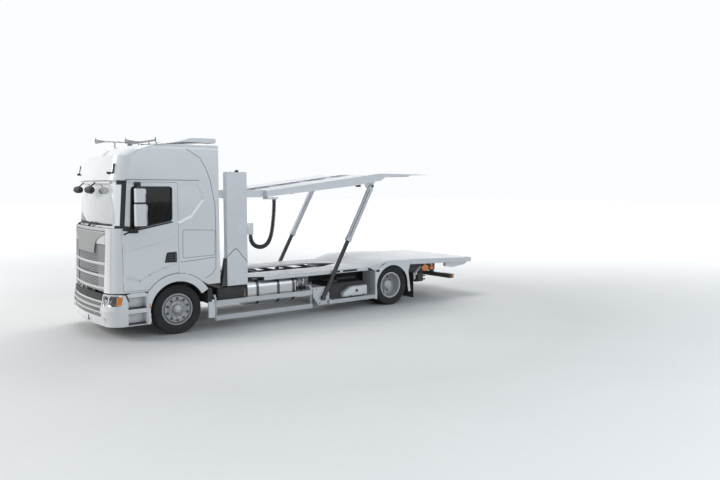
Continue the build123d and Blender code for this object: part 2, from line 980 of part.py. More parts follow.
def arch_band(outer, inner, y_range, start_angle, end_angle):
    # A ring sector about the front wheel in the side view, on the left
    first, last = math.radians(start_angle), math.radians(end_angle)
    middle = (first + last) / 2
    centre = Vector(front_axle_x, axle_z)

    def spot(radius, angle):
        return (centre.X + radius * math.cos(angle), centre.Y + radius * math.sin(angle))

    with BuildSketch(Plane.XZ.offset(y_range[0])) as band:
        with BuildLine():
            ThreePointArc(spot(outer, first), spot(outer, middle), spot(outer, last))
            Line(spot(outer, last), spot(inner, last))
            ThreePointArc(spot(inner, last), spot(inner, middle), spot(inner, first))
            Line(spot(inner, first), spot(outer, first))
        make_face()
    extrude(band.sketch, amount=y_range[1] - y_range[0], dir=(0, -1, 0))


with BuildPart() as front_fenders:
    arch_band(wheel_arch_radius - flare_gap, arch_inner, (flare_inner_y + 80, half_width), 30, 196)
    arch_band(wheel_arch_radius - flare_gap, liner_radius + 8, (flare_inner_y, half_width - 20), 30, 150)
    slab(
        (at(bumper_rear_station), at(-arch_inner + 8)),
        (-half_width, -flare_inner_y - 80),
        (bumper_low, axle_z),
    )
    slab((at(605), at(guard_front)), (-half_width, -half_width + guard_depth), (240, 560))
    slab(
        (at(bumper_rear_station - 200), at(bumper_rear_station) + seam),
        (-half_width - 5, -flare_inner_y + 5),
        (bumper_low - 50, cab_low),
        mode=Mode.SUBTRACT,
    )
    both_sides()
save(front_fenders.part, "front_fenders")

with BuildPart() as fender_liners:
    arch_band(liner_radius + 8, liner_radius, (liner_inner_y, flare_inner_y + 80), 8, 150)
    slab((at(605), at(700)), (-half_width + guard_depth, -rail_outer), (530, 820))
    cross_plate(
        [
            (-rail_outer, 620),
            (-rail_outer, 720),
            (-half_width + 30, 720),
            (-half_width + 30, 100),
            (-620, 100),
            (-620, 620),
        ],
        at(flap_station),
        at(flap_station) + flap_thickness,
    )
    both_sides()
save(fender_liners.part, "fender_liners")

# Side boxes: batteries on the left, exhaust silencer on the right, air tanks behind
box_stations = (820.0, 1400.0)
box_z = (545.0, 815.0)
rear_box_stations = (3560.0, 4500.0)
rear_box_z = (340.0, 640.0)
rear_box_outer = 1140.0
with BuildPart() as side_boxes:
    slab((at(box_stations[0]), at(box_stations[1])), (-1212, -rail_outer), box_z)
    fillet(side_boxes.edges().filter_by(Axis.X).group_by(Axis.Y)[0], 25)
    chamfer(side_boxes.edges().filter_by(Axis.Y), 12)
    slab((at(rear_box_stations[0]), at(rear_box_stations[1])), (-rear_box_outer, -rail_outer), rear_box_z)
    both_sides()
save(side_boxes.part, "side_boxes")

tank_stations = (1530.0, 2690.0)
tank_y = (550.0, 1120.0)
tank_z = (365.0, 862.0)
tank_corner = 130.0
strap_stations = (1735.0, 2230.0, 2605.0)
strap_width = 56.0
strap_thickness = 7.0


def tank_section(x, grow, inner_cut):
    with BuildSketch(Plane.YZ.offset(x)) as section:
        with Locations((-(tank_y[0] + tank_y[1]) / 2, (tank_z[0] + tank_z[1]) / 2)):
            RectangleRounded(
                tank_y[1] - tank_y[0] + 2 * grow,
                tank_z[1] - tank_z[0] + 2 * grow,
                tank_corner + grow,
            )
            if inner_cut:
                RectangleRounded(
                    tank_y[1] - tank_y[0],
                    tank_z[1] - tank_z[0],
                    tank_corner,
                    mode=Mode.SUBTRACT,
                )
    return section.sketch


with BuildPart() as fuel_tanks:
    extrude(
        tank_section(at(tank_stations[0]), 0, False),
        amount=tank_stations[1] - tank_stations[0],
        dir=(1, 0, 0),
    )
    both_sides()
save(fuel_tanks.part, "fuel_tanks")

with BuildPart() as tank_straps:
    for station in strap_stations:
        extrude(
            tank_section(at(station), strap_thickness, True),
            amount=strap_width,
            dir=(1, 0, 0),
        )
        slab(
            (at(station), at(station) + strap_width),
            (-tank_y[0], -rail_outer),
            (rail_bottom + 30, rail_top - 30),
        )
    both_sides()
save(tank_straps.part, "tank_straps")

# Side guards: two ribbed rails with posts and arms from the frame
guard_rear = 3050.0
guard_outer = 1250.0
guard_top_rail = (475.0, 568.0)
guard_low_rail = (175.0, 268.0)
rear_rail_z = (212.0, 300.0)
rear_rail_stations = (3540.0, 4800.0)
guard_arm_stations = (750.0, 3004.0)
guard_arm_length = 36.0
with BuildPart() as side_guards:
    for low, high in (guard_top_rail, guard_low_rail):
        slab((at(guard_front), at(guard_rear)), (-guard_outer, -guard_outer + guard_depth), (low, high))
    slab(
        (at(rear_rail_stations[0]), at(rear_rail_stations[1])),
        (-guard_outer, -guard_outer + guard_depth),
        rear_rail_z,
    )
    for station in guard_arm_stations:
        slab(
            (at(station), at(station) + guard_arm_length),
            (-guard_outer + guard_depth, -guard_outer + guard_depth + 30),
            (guard_low_rail[0], guard_top_rail[1] + 60),
        )
        slab(
            (at(station), at(station) + guard_arm_length),
            (-guard_outer + guard_depth + 30, -rail_outer),
            (guard_top_rail[1] + 60, guard_top_rail[1] + 110),
        )
    both_sides()
save(side_guards.part, "side_guards")

# Feet of the lift rams, outboard of the frame
ram_y = 1205.0
ram_foot_station = 3352.0
ram_foot_z = 362.0
ram_pin_radius = 24.0
foot_plate = (1120.0, 1162.0)
post_half_y = 30.0
with BuildPart() as ram_feet:
    side_plate(
        [
            (at(3060), 600),
            (at(3060), 470),
            (at(3250), 200),
            (at(3540), 200),
            (at(3540), 440),
            (at(3470), 600),
        ],
        *foot_plate,
    )
    slab((at(3140), at(3440)), (-foot_plate[0], -rail_outer), (480, 600))
    slab((at(3140), at(3440)), (-rail_outer - 20, -rail_outer), (600, rail_top - 40))
    slab((at(3500), at(3540)), (-guard_outer, -foot_plate[1]), (200, 310))
    rod(
        (at(ram_foot_station), -foot_plate[1], ram_foot_z),
        (at(ram_foot_station), -ram_y - post_half_y - 10, ram_foot_z),
        ram_pin_radius,
    )
    both_sides()
save(ram_feet.part, "ram_feet")

# Shallow tool boxes ahead of the rear wheels, on the boxes behind them
tool_stations = (3870.0, 4550.0)
with BuildPart() as tool_boxes:
    side_plate(
        [
            (at(tool_stations[0]), 335),
            (at(tool_stations[1]), 335),
            (at(tool_stations[1]), 550),
            (at(tool_stations[0] + 230), 550),
            (at(tool_stations[0]), 415),
        ],
        rear_box_outer,
        1240,
    )
    both_sides()
save(tool_boxes.part, "tool_boxes")

# Lower deck: its top edge seen from the side, as stations and heights
deck_line = ((3900.0, 950.0), (4650.0, 950.0), (5150.0, 1060.0), (5900.0, 1060.0), (8030.0, 985.0))
deck_plate = 8.0
track_outer = 1150.0
track_inner = 420.0
track_front = 1600.0
track_corner = (1900.0, 1000.0)
track_skirt = 8.0
gap_point = 4550.0
widening_end = 5125.0


def deck_top(station):
    # Height of the deck's top surface at a station
    for (near, low), (far, high) in zip(deck_line[:-1], deck_line[1:]):
        if station <= far:
            return low + (high - low) * max(station - near, 0) / (far - near)
    return deck_line[-1][1]


def deck_underside(front, rear, drop=0):
    # The line under the deck plate, or some way below it, between two stations
    stops = [front, *[s for s, _ in deck_line if front < s < rear], rear]
    return [(at(s), deck_top(s) - deck_plate - drop) for s in stops]


def under_deck(front, rear, depth):
    # Outline of a piece of one depth that hangs from the deck plate
    return [*deck_underside(front, rear), *reversed(deck_underside(front, rear, depth))]


def down_to(front, rear, low):
    # Outline of a piece that reaches from the deck plate down to a level
    return [*deck_underside(front, rear), (at(rear), low), (at(front), low)]


tube_stations = (1680.0, 2230.0, 2780.0, 3330.0, 3830.0)
tube_length = 50.0
tube_top = 920.0
with BuildPart() as deck_tracks:
    plan_plate(
        [
            (at(track_front), -track_inner),
            (at(track_front), -track_corner[1]),
            (at(track_corner[0]), -track_outer),
            (at(deck_line[0][0]), -track_outer),
            (at(deck_line[0][0]), -track_inner),
        ],
        deck_line[0][1] - deck_plate,
        deck_line[0][1],
    )
    slab(
        (at(track_corner[0]), at(deck_line[0][0])),
        (-track_outer, -track_outer + track_skirt),
        (rail_top, deck_line[0][1]),
    )
    for near in (track_inner, 760.0):
        slab(
            (at(track_front), at(deck_line[0][0])),
            (-near - track_skirt, -near),
            (tube_top, deck_line[0][1]),
        )
    both_sides()
save(deck_tracks.part, "deck_tracks")

with BuildPart() as deck_tubes:
    for station in tube_stations:
        reach = track_outer - track_skirt if station > track_corner[0] else track_corner[1] - 30
        slab((at(station), at(station) + tube_length), (-reach, reach), (rail_top, tube_top))

rib_stations = (4200.0, 4620.0, 6030.0, 6500.0, 7000.0, 7500.0, 7960.0)
arch_station = (4800.0, 5900.0)
arch_corner_z = 866.0
arch_band_depth = 30.0
side_band_depth = 115.0
side_band = 30.0
with BuildPart() as deck_rear:
    top_edge = [(at(s), z) for s, z in deck_line]
    side_plate([*top_edge, *[(x, z - deck_plate) for x, z in reversed(top_edge)]], 0, half_width)
    plan_plate(
        [(at(3880), -track_inner), (at(gap_point), 0), (at(3880), 50)],
        700,
        1200,
        mode=Mode.SUBTRACT,
    )
    plan_plate(
        [
            (at(3880), -half_width - 50),
            (at(3880), -track_outer),
            (at(deck_line[1][0]), -track_outer),
            (at(widening_end), -half_width),
            (at(widening_end), -half_width - 50),
        ],
        700,
        1200,
        mode=Mode.SUBTRACT,
    )
    side_plate(down_to(deck_line[0][0], deck_line[1][0], rail_top), track_outer - track_skirt, track_outer)
    side_plate(
        under_deck(widening_end, arch_station[1], arch_band_depth), half_width - side_band, half_width
    )
    side_plate(under_deck(arch_station[1], 8030.0, side_band_depth), half_width - side_band, half_width)
    side_plate(down_to(3990.0, 7990.0, rail_top), rail_outer - rail_flange, rail_outer)
    corner_points = [
        (at(deck_line[1][0]), -track_outer, deck_top(deck_line[1][0])),
        (at(widening_end), -half_width, deck_top(widening_end)),
        (at(arch_station[0]), -half_width, arch_corner_z),
    ]
    extrude(Face(Wire.make_polygon(corner_points)), amount=deck_plate, dir=(0, 0, -1))
    for station in rib_stations:
        reach = track_outer - track_skirt if station < 5000 else half_width - side_band
        inner = track_inner if station < gap_point else 0
        slab(
            (at(station), at(station) + tube_length),
            (-reach, -inner),
            (deck_top(station) - 78, deck_top(station + tube_length) - deck_plate + 1),
        )
    side_plate(
        [
            *deck_underside(7150, 7960),
            (at(7960), 870),
            (at(7850), 800),
            (at(7400), 750),
            (at(7150), 790),
        ],
        1110,
        1190,
    )
    both_sides()
save(deck_rear.part, "deck_rear")

# White arches of the rear wheels: thin panels outboard of the tyres
rear_arch_centre = rear_axle_x + 25
rear_arch_radius = 482.0
arch_panel = 9.0
with BuildPart() as rear_fenders:
    side_plate(
        [
            (at(arch_station[0]), 190),
            (at(arch_station[0]), arch_corner_z - deck_plate - 2),
            *deck_underside(widening_end, arch_station[1], arch_band_depth),
            (at(arch_station[1] - 70), 760),
            (at(arch_station[1]), 320),
            (at(arch_station[1] - 5), 275),
            (at(arch_station[1] - 62), 275),
            (at(arch_station[1] - 103), axle_z),
            (at(arch_station[0] + 53), axle_z),
            (at(arch_station[0] + 53), 190),
        ],
        half_width - arch_panel,
        half_width,
    )
    rod(
        (rear_arch_centre, -half_width + arch_panel + 5, axle_z),
        (rear_arch_centre, -half_width - 5, axle_z),
        rear_arch_radius,
        mode=Mode.SUBTRACT,
    )
    slab(
        (at(arch_station[0]), at(arch_station[0]) + 6),
        (-half_width + arch_panel, -760),
        (210, arch_corner_z - deck_plate - 2),
    )
    both_sides()
save(rear_fenders.part, "rear_fenders")

# Towers that carry the front of the upper deck, and their feet on the frame
tower_x = (at(1020), at(1475))
tower_y = (1100.0, 1250.0)
tower_z = (840.0, 3100.0)
slot_x = (at(1150), at(1350))
slot_depth = 30.0
slot_z = (1050.0, 3040.0)
with BuildPart() as towers:
    slab(tower_x, (-tower_y[1], -tower_y[0]), tower_z)
    fillet(towers.edges().filter_by(Axis.Z), 14)
    slab(slot_x, (-tower_y[0] - slot_depth, -tower_y[0]), slot_z, mode=Mode.SUBTRACT)
    both_sides()
save(towers.part, "towers")

with BuildPart() as deck_supports:
    add(deck_tubes.part)
    slab((at(1100), at(1400)), (-tower_y[0], tower_y[0]), (rail_top, 985))
    for name, side in sides:
        near, far = sorted((side * 1120, side * 1230))
        with BuildSketch(Plane.XZ.offset(-far)) as fin:
            with BuildLine():
                Polyline((at(905), 845), (at(1020), 845), (at(1020), 1390), (at(995), 1390), close=True)
            make_face()
        extrude(fin.sketch, amount=far - near, dir=(0, -1, 0))
        near, far = sorted((side * (tower_y[0] - 60), side * tower_y[0]))
        with BuildSketch(Plane.XZ.offset(-far)) as gusset:
            with BuildLine():
                Polyline(
                    (at(1060), 880),
                    (at(1440), 880),
                    (at(1400), 985),
                    (at(1390), 1340),
                    (at(1110), 1340),
                    (at(1100), 985),
                    close=True,
                )
            make_face()
        extrude(gusset.sketch, amount=far - near, dir=(0, -1, 0))
    slab((tower_x[1], at(1560)), (-1185, -1115), (1860, 2070))
    slab((at(1545), at(1640)), (-1190, -1110), (1840, 2070))
save(deck_supports.part, "deck_supports")

# Carriage that runs up and down in the tower slots and holds the deck's front pin
carriage_z = (2500.0, 2840.0)
carriage_outer = tower_y[0] - 15.0
arm_inner = 990.0
pivot_station = 2000.0
pivot_z = 2680.0
pivot_radius = 30.0
beam_y = (1100.0, 1222.0)
arm_end = 2050.0
arm_low = 2600.0
arm_top = 2745.0
hose_bracket_z = (2556.0, arm_low)
pivot_depth = 60.0
with BuildPart() as lift_carriage:
    slab(
        (slot_x[0] + slide_clearance, slot_x[1] - slide_clearance),
        (-tower_y[0] - slot_depth + slide_clearance, -arm_inner),
        carriage_z,
    )
    slab((slot_x[0], at(arm_end)), (-carriage_outer, -arm_inner), (arm_low, arm_top))
    rod((at(pivot_station), -arm_inner, pivot_z), (at(pivot_station), -carriage_outer, pivot_z), 68)
    rod(
        (at(pivot_station), -carriage_outer, pivot_z),
        (at(pivot_station), -beam_y[0] - pivot_depth, pivot_z),
        pivot_radius,
    )
    slab((at(1980), at(2240)), (-1165, -arm_inner), hose_bracket_z)
    both_sides()
    slab((at(1500), at(1620)), (-arm_inner, arm_inner), (arm_low, arm_top))
save(lift_carriage.part, "lift_carriage")

# Upper deck: side beams with a rising front part and a thin level tail
beam_bottom = ((1955.0, 2610.0), (4270.0, 2848.0), (4990.0, 2967.0), (5120.0, 3050.0), (6240.0, 3108.0))
beam_top = ((6240.0, 3122.0), (4930.0, 3128.0), (1957.0, 2739.0))
upper_plate = 8.0
upper_drop = 6.0
upper_inner = 330.0
upper_front = 2060.0
tail_tip = 6420.0
tail_notch = 6020.0
tail_outer = 1245.0
lug_y = (1120.0, 1162.0)
ram_top_station = 4706.0
ram_top_z = 2838.0
cross_beams = (2090.0, 2900.0, 3700.0, 4450.0)
tail_beams = (5200.0, 5900.0)


def upper_top(station):
    # Height of the upper deck's top surface at a station
    low, high = beam_top[2], beam_top[1]
    if station < high[0]:
        return low[1] + (high[1] - low[1]) * (station - low[0]) / (high[0] - low[0]) - upper_drop
    return beam_top[1][1] - upper_drop - (station - high[0]) * 0.004


with BuildPart() as upper_frame:
    side_plate([(at(s), z) for s, z in (*beam_bottom, *beam_top)], *beam_y)
    side_plate(
        [
            (at(4560), 2900),
            (at(4620), 2790),
            (at(4700), 2770),
            (at(4770), 2790),
            (at(4850), 2945),
            (at(4850), 3000),
            (at(4560), 3000),
        ],
        *lug_y,
    )
    rod(
        (at(pivot_station), -beam_y[0] + 1, pivot_z),
        (at(pivot_station), -beam_y[0] - pivot_depth - 2, pivot_z),
        pivot_radius + pin_clearance,
        mode=Mode.SUBTRACT,
    )
    both_sides()
    for station in cross_beams:
        slab(
            (at(station), at(station) + 70),
            (-beam_y[0], beam_y[0]),
            (upper_top(station) - upper_plate - 90, upper_top(station) - upper_plate),
        )
    for station in tail_beams:
        slab(
            (at(station), at(station) + 60),
            (-beam_y[0], beam_y[0]),
            (upper_top(station) - upper_plate - 45, upper_top(station + 60) - upper_plate),
        )
save(upper_frame.part, "upper_frame")

with BuildPart() as upper_plates:
    kink = beam_top[1][0]
    front_top = [(at(upper_front), upper_top(upper_front)), (at(kink), upper_top(kink))]
    side_plate(
        [*front_top, *[(x, z - upper_plate) for x, z in reversed(front_top)]],
        upper_inner,
        beam_y[0],
    )
    tail_top = [(at(kink), upper_top(kink)), (at(tail_tip), upper_top(tail_tip))]
    side_plate(
        [*tail_top, *[(x, z - upper_plate) for x, z in reversed(tail_top)]],
        upper_inner,
        beam_y[0],
    )
    slab(
        (at(beam_top[0][0]), at(tail_tip)),
        (-tail_outer, -upper_inner),
        (beam_bottom[-1][1], upper_top(tail_tip)),
    )
    plan_plate(
        [
            (at(tail_tip + 10), -tail_outer + 12),
            (at(tail_tip + 10), -upper_inner - 12),
            (at(tail_notch), -560),
            (at(tail_notch), -930),
        ],
        3000,
        3200,
        mode=Mode.SUBTRACT,
    )
    both_sides()
save(upper_plates.part, "upper_plates")

# Lift rams: a dark inner post on the foot pin and a wider sleeve above it
ram_run = Vector(ram_top_station - ram_foot_station, 0, ram_top_z - ram_foot_z)
ram_length = ram_run.length
post_length = 1600.0
post_width = 84.0
sleeve_length = 1420.0
sleeve_width = 120.0
sleeve_half_y = 42.0
sleeve_wall_gap = 0.6
sleeve_end_radius = 45.0
for name, side in sides:
    foot = (at(ram_foot_station), side * ram_y, ram_foot_z)
    along = Plane(origin=foot, x_dir=(0, 1, 0), z_dir=ram_run)
    with BuildPart() as ram_post:
        with BuildSketch(along):
            RectangleRounded(2 * post_half_y, post_width, 12)
        extrude(amount=post_length)
        rod(
            (at(ram_foot_station), side * (ram_y - post_half_y), ram_foot_z),
            (at(ram_foot_station), side * (ram_y + post_half_y), ram_foot_z),
            56,
        )
        rod(
            (at(ram_foot_station), side * (ram_y - post_half_y - 5), ram_foot_z),
            (at(ram_foot_station), side * (ram_y + post_half_y + 5), ram_foot_z),
            ram_pin_radius + pin_clearance,
            mode=Mode.SUBTRACT,
        )
    save(ram_post.part, f"ram_post_{name}")

    with BuildPart() as ram_sleeve:
        with BuildSketch(along.offset(ram_length - sleeve_length)):
            RectangleRounded(2 * sleeve_half_y, sleeve_width, 10)
        extrude(amount=sleeve_length)
        with BuildSketch(along.offset(ram_length - sleeve_length - 1)):
            RectangleRounded(
                2 * post_half_y + 2 * sleeve_wall_gap,
                post_width + 2 * sleeve_wall_gap,
                12,
            )
        extrude(amount=sleeve_length - 90, mode=Mode.SUBTRACT)
        with BuildSketch(along.offset(ram_length - 60)):
            Rectangle(2 * sleeve_half_y + 10, sleeve_width + 10)
            Rectangle(2 * sleeve_half_y + 10, 2 * sleeve_end_radius, mode=Mode.SUBTRACT)
        extrude(amount=100, mode=Mode.SUBTRACT)
        top = (at(ram_top_station), side * ram_y, ram_top_z)
        rod(
            (at(ram_top_station), side * (lug_y[1] + slide_clearance), ram_top_z),
            (at(ram_top_station), side * (ram_y + sleeve_half_y), ram_top_z),
            sleeve_end_radius,
        )
    save(ram_sleeve.part, f"ram_sleeve_{name}")

# Hose from the left tower to the carriage: straight runs with arcs between them
hose_radius = 31.0
hose_route = (
    (1595, -1150, 1840),
    (1595, -1150, 1745),
    (1640, -1148, 1652),
    (1723, -1145, 1591),
    (1825, -1142, 1567),
    (1928, -1138, 1589),
    (2012, -1134, 1652),
    (2069, -1130, 1752),
    (2110, -1126, 1890),
    (2140, -1122, 2070),
    (2161, -1120, 2265),
    (2172, -1120, 2433),
    (2172, -1120, 2556),
)
hose_bend_share = 0.45


def bend_radii(route):
    # One radius for each corner, as large as the two runs beside it allow
    points = [Vector(*spot) for spot in route]
    radii = []
    for before, corner, after in zip(points[:-2], points[1:-1], points[2:]):
        arriving, leaving = corner - before, after - corner
        turn = math.radians(arriving.get_angle(leaving))
        shorter = min(arriving.length, leaving.length)
        radii.append(hose_bend_share * shorter / math.tan(turn / 2))
    return radii


hose_points = [(at(x), y, z) for x, y, z in hose_route]
hose_radii = bend_radii(hose_points)
print("hose radii", [round(radius) for radius in hose_radii])
with BuildPart() as deck_hose:
    with BuildLine() as hose_path:
        FilletPolyline(*hose_points, radius=hose_radii)
    hose_wire = hose_path.wire()
    with BuildSketch(Plane(origin=hose_wire @ 0, z_dir=hose_wire % 0)):
        Circle(hose_radius)
    sweep(path=hose_wire)
hose_solid_share = deck_hose.part.volume / (hose_wire.length * math.pi * hose_radius**2)
print("hose length", round(hose_wire.length), "volume share", round(hose_solid_share, 4))
save(deck_hose.part, "deck_hose")

# Rear beam with tail lamps, side lamps and the tow coupling
rear_beam_x = (at(7380), at(7470))
rear_beam_z = (455.0, 560.0)
with BuildPart() as rear_beam:
    slab(rear_beam_x, (-1120, 1120), rear_beam_z)
    for name, side in sides:
        near, far = sorted((side * (rail_outer - rail_flange), side * rail_outer))
        slab(rear_beam_x, (near, far), (rear_beam_z[1], rail_bottom))
save(rear_beam.part, "rear_beam")

with BuildPart() as tail_lamps:
    slab((rear_beam_x[1], rear_beam_x[1] + 70), (-1110, -770), (450, 565))
    fillet(tail_lamps.edges().filter_by(Axis.X), 20)
    for station in (6340, 6560):
        slab((at(station), at(station) + 110), (-half_width + 4, -half_width + 34), (760, 830))
        slab(
            (at(station) + 30, at(station) + 80),
            (-half_width + 6, -half_width + 26),
            (830, deck_top(station + 80) - deck_plate - side_band_depth),
        )
    both_sides()
save(tail_lamps.part, "tail_lamps")

coupling_station = 7440.0
coupling_bore = 25.0
jaw_z = ((300.0, 325.0), (395.0, 420.0))
with BuildPart() as tow_coupling:
    slab((at(7050), at(7300)), (-170, 170), (280, 440))
    for name, side in sides:
        near, far = sorted((side * 190, side * 230))
        slab((at(7080), at(7260)), (near, far), (300, rail_bottom + 40))
        near, far = sorted((side * 190, side * rail_inner))
        slab((at(7080), at(7260)), (near, far), (rail_bottom + rail_wall + 2, rail_bottom + 50))
        near, far = sorted((side * 150, side * 230))
        slab((at(7080), at(7260)), (near, far), (310, 420))
    for low, high in jaw_z:
        slab((at(7290), at(coupling_station)), (-90, 90), (low, high))
        rod((at(coupling_station), 0, low), (at(coupling_station), 0, high), 90)
    rod(
        (at(coupling_station), 0, 290),
        (at(coupling_station), 0, 430),
        coupling_bore,
        mode=Mode.SUBTRACT,
    )
save(tow_coupling.part, "tow_coupling")

# Cab interior: dashboard with steering wheel, seats on the floor
with BuildPart() as dashboard:
    side_plate(
        [
            (at(-1140), cab_floor),
            (at(-1140), 2020),
            (at(-1000), 2070),
            (at(-850), 2030),
            (at(-790), 1900),
            (at(-860), 1760),
            (at(-950), cab_floor),
        ],
        -900,
        900,
    )
    wheel_centre = Vector(at(-620), -560, 2060)
    column = Vector(-math.sin(math.radians(35)), 0, -math.cos(math.radians(35)))
    rod(tuple(wheel_centre), tuple(wheel_centre + column * 360), 28)
    with BuildSketch(Plane(origin=wheel_centre, x_dir=(0, 1, 0), z_dir=column)):
        Circle(225)
        Circle(195, mode=Mode.SUBTRACT)
        Rectangle(400, 40)
    extrude(amount=26)
save(dashboard.part, "dashboard")

seat_y = (320.0, 820.0)
with BuildPart() as seats:
    slab((at(-330), at(90)), (-seat_y[1] + 60, -seat_y[0] - 60), (cab_floor, 1640))
    side_plate(
        [
            (at(-420), 1640),
            (at(-420), 1770),
            (at(30), 1740),
            (at(110), 2420),
            (at(150), 2640),
            (at(230), 2640),
            (at(250), 2420),
            (at(160), 1640),
        ],
        *seat_y,
        radius=30,
    )
    both_sides()
save(seats.part, "seats")

# Roof unit on its base, and the roof bar with two horns
with BuildPart() as roof_unit:
    side_plate(
        [
            (at(230), 3688),
            (at(480), 3770),
            (at(980), 3778),
            (at(1020), 3760),
            (at(1010), 3688),
        ],
        -820,
        820,
    )
    roof_seat = [(at(s), z) for s, z in ((350, 3632), (550, 3644), (800, 3618.7))]
    side_plate([*roof_seat, (at(800), 3690), (at(350), 3690)], -620, 620)
save(roof_unit.part, "roof_unit")

bar_station = -160.0
bar_z = 3712.0
bar_half = 820.0
bar_radius = 21.0
bar_lamp = (52.0, 90.0)
foot_radius = 14.0
foot_y = (300.0, 700.0)
# Each horn: its place across, its bell, where its tube ends and its foot
horns = ((450.0, -950.0, -160.0, -590.0), (80.0, -480.0, -160.0, -380.0))
horn_z = 3720.0
horn_bell = (150.0, 58.0)
horn_tube = 18.0


def roof_height(station):
    # Top of the roof under the rear edge of a foot, on the long middle run of the roof line
    (start, low), (end, high) = roof_line[1:3]
    return low + (high - low) * (station + foot_radius - start) / (end - start)


with BuildPart() as roof_bar:
    rod((at(bar_station), -bar_half, bar_z), (at(bar_station), bar_half, bar_z), bar_radius)
    for name, side in sides:
        for distance in foot_y:
            rod(
                (at(bar_station), side * distance, roof_height(bar_station)),
                (at(bar_station), side * distance, bar_z),
                foot_radius,
            )
        near, far = sorted((side * bar_half, side * (bar_half - bar_lamp[0])))
        slab(
            (at(bar_station) - bar_lamp[0], at(bar_station) + bar_lamp[0]),
            (near, far),
            (bar_z - bar_lamp[1] / 2, bar_z + bar_lamp[1] / 2),
        )
    for across, bell, end, foot in horns:
        mouth = at(bell) + horn_bell[0]
        rod((mouth, across, horn_z), (at(end), across, horn_z), horn_tube)
        with BuildSketch(Plane(origin=(mouth + 20, across, horn_z), z_dir=(-1, 0, 0))):
            Circle(horn_tube)
        with BuildSketch(Plane(origin=(at(bell), across, horn_z), z_dir=(-1, 0, 0))):
            Circle(horn_bell[1])
        loft()
        rod((at(foot), across, roof_height(foot)), (at(foot), across, horn_z), foot_radius)
save(roof_bar.part, "roof_bar")

# Mirrors ride on the doors: two housings on a pair of arms
mirror_y = (1385.0, 1520.0)
for name, side in sides:
    with BuildPart() as mirror_set:
        near, far = sorted((side * mirror_y[0], side * mirror_y[1]))
        slab((at(-860), at(-660)), (near, far), (2110, 2500))
        fillet(mirror_set.edges().filter_by(Axis.Z), 40)
        slab((at(-850), at(-680)), (near, far), (2535, 2780))
        fillet(mirror_set.edges().filter_by(Axis.Z).group_by(Axis.Z)[-1], 30)
        rod((at(-760), side * 1450, 2490), (at(-760), side * 1450, 2545), 30)
        near, far = sorted((side * (half_width + slide_clearance), side * (half_width + 22)))
        slab((at(-790), at(-690)), (near, far), (2826, 2880))
        slab((at(-890), at(-760)), (near, far), (1985, 2035))
        rod((at(-740), side * (half_width + 10), 2850), (at(-760), side * 1450, 2775), 17)
        rod((at(-820), side * (half_width + 10), 2010), (at(-760), side * 1450, 2115), 17)
    save(mirror_set.part, f"mirror_{name}")
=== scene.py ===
import json
import math
import bpy
import bmesh
from mathutils import Matrix, Vector


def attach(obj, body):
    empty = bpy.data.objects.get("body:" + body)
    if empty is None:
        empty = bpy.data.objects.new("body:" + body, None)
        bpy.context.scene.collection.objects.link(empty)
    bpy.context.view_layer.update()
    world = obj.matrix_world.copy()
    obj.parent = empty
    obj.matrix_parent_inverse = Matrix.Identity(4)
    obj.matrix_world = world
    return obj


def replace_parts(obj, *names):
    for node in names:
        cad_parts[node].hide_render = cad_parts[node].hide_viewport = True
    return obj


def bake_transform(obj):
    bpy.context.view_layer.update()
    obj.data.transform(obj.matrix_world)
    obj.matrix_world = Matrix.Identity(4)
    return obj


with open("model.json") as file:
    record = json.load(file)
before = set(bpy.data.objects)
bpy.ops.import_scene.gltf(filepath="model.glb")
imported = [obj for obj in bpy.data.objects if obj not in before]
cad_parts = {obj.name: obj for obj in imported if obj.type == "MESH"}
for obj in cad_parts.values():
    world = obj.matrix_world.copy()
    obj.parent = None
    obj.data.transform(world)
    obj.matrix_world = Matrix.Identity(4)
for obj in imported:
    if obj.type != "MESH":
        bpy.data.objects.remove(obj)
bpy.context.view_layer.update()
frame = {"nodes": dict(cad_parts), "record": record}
print("frame loaded")

frontAxleX = -3.305  # metres, +X to the rear, -Y the near side, +Z up
rearAxleX = frontAxleX + 5.3
axleHeight = 0.475
bodySide = 1.25  # half width of the cab, towers and deck sides
sides = (("left", -1), ("right", 1))


def at(station):
    # Stations run rearwards from the front axle
    return frontAxleX + station


def newObject(name, data, spot=None, along=None):
    made = bpy.data.objects.new(name, data)
    bpy.context.collection.objects.link(made)
    if spot:
        made.location = spot
        made.rotation_mode = "QUATERNION"
        made.rotation_quaternion = along.to_track_quat("-Z", "Y")
    return made


def spread(low, high, steps):
    return [low + (high - low) * index / steps for index in range(steps + 1)]


def runs(points):
    # Each point with the one after it
    return zip(points[:-1], points[1:])


view = {"position": (-8.11, -13.199, 2.7815), "yaw": 52.564, "pitch": -4.476, "lens": 32.93, "sensor": 36.0}
cameraData = bpy.data.cameras.new("camera")
cameraData.lens = view["lens"]
cameraData.sensor_width = view["sensor"]
cameraData.clip_end = 400
yaw, pitch = math.radians(view["yaw"]), math.radians(view["pitch"])
lookAlong = Vector((math.cos(yaw) * math.cos(pitch), math.sin(yaw) * math.cos(pitch), math.sin(pitch)))
bpy.context.scene.camera = newObject("camera", cameraData, view["position"], lookAlong)


# Nodes: inputs are given as values or as the sockets that feed them
def feed(tree, node, inputs):
    for label, value in inputs.items():
        if isinstance(value, bpy.types.NodeSocket):
            tree.links.new(value, node.inputs[label])
        else:
            node.inputs[label].default_value = value


def addNode(tree, kind, inputs, **settings):
    node = tree.nodes.new(kind)
    for label, value in settings.items():
        setattr(node, label, value)
    feed(tree, node, inputs)
    return node.outputs


def mathNode(tree, operation, first, second, clamp=False):
    return addNode(tree, "ShaderNodeMath", {0: first, 1: second}, operation=operation, use_clamp=clamp)[0]


def multiply(tree, first, second, clamp=False):
    return mathNode(tree, "MULTIPLY", first, second, clamp)


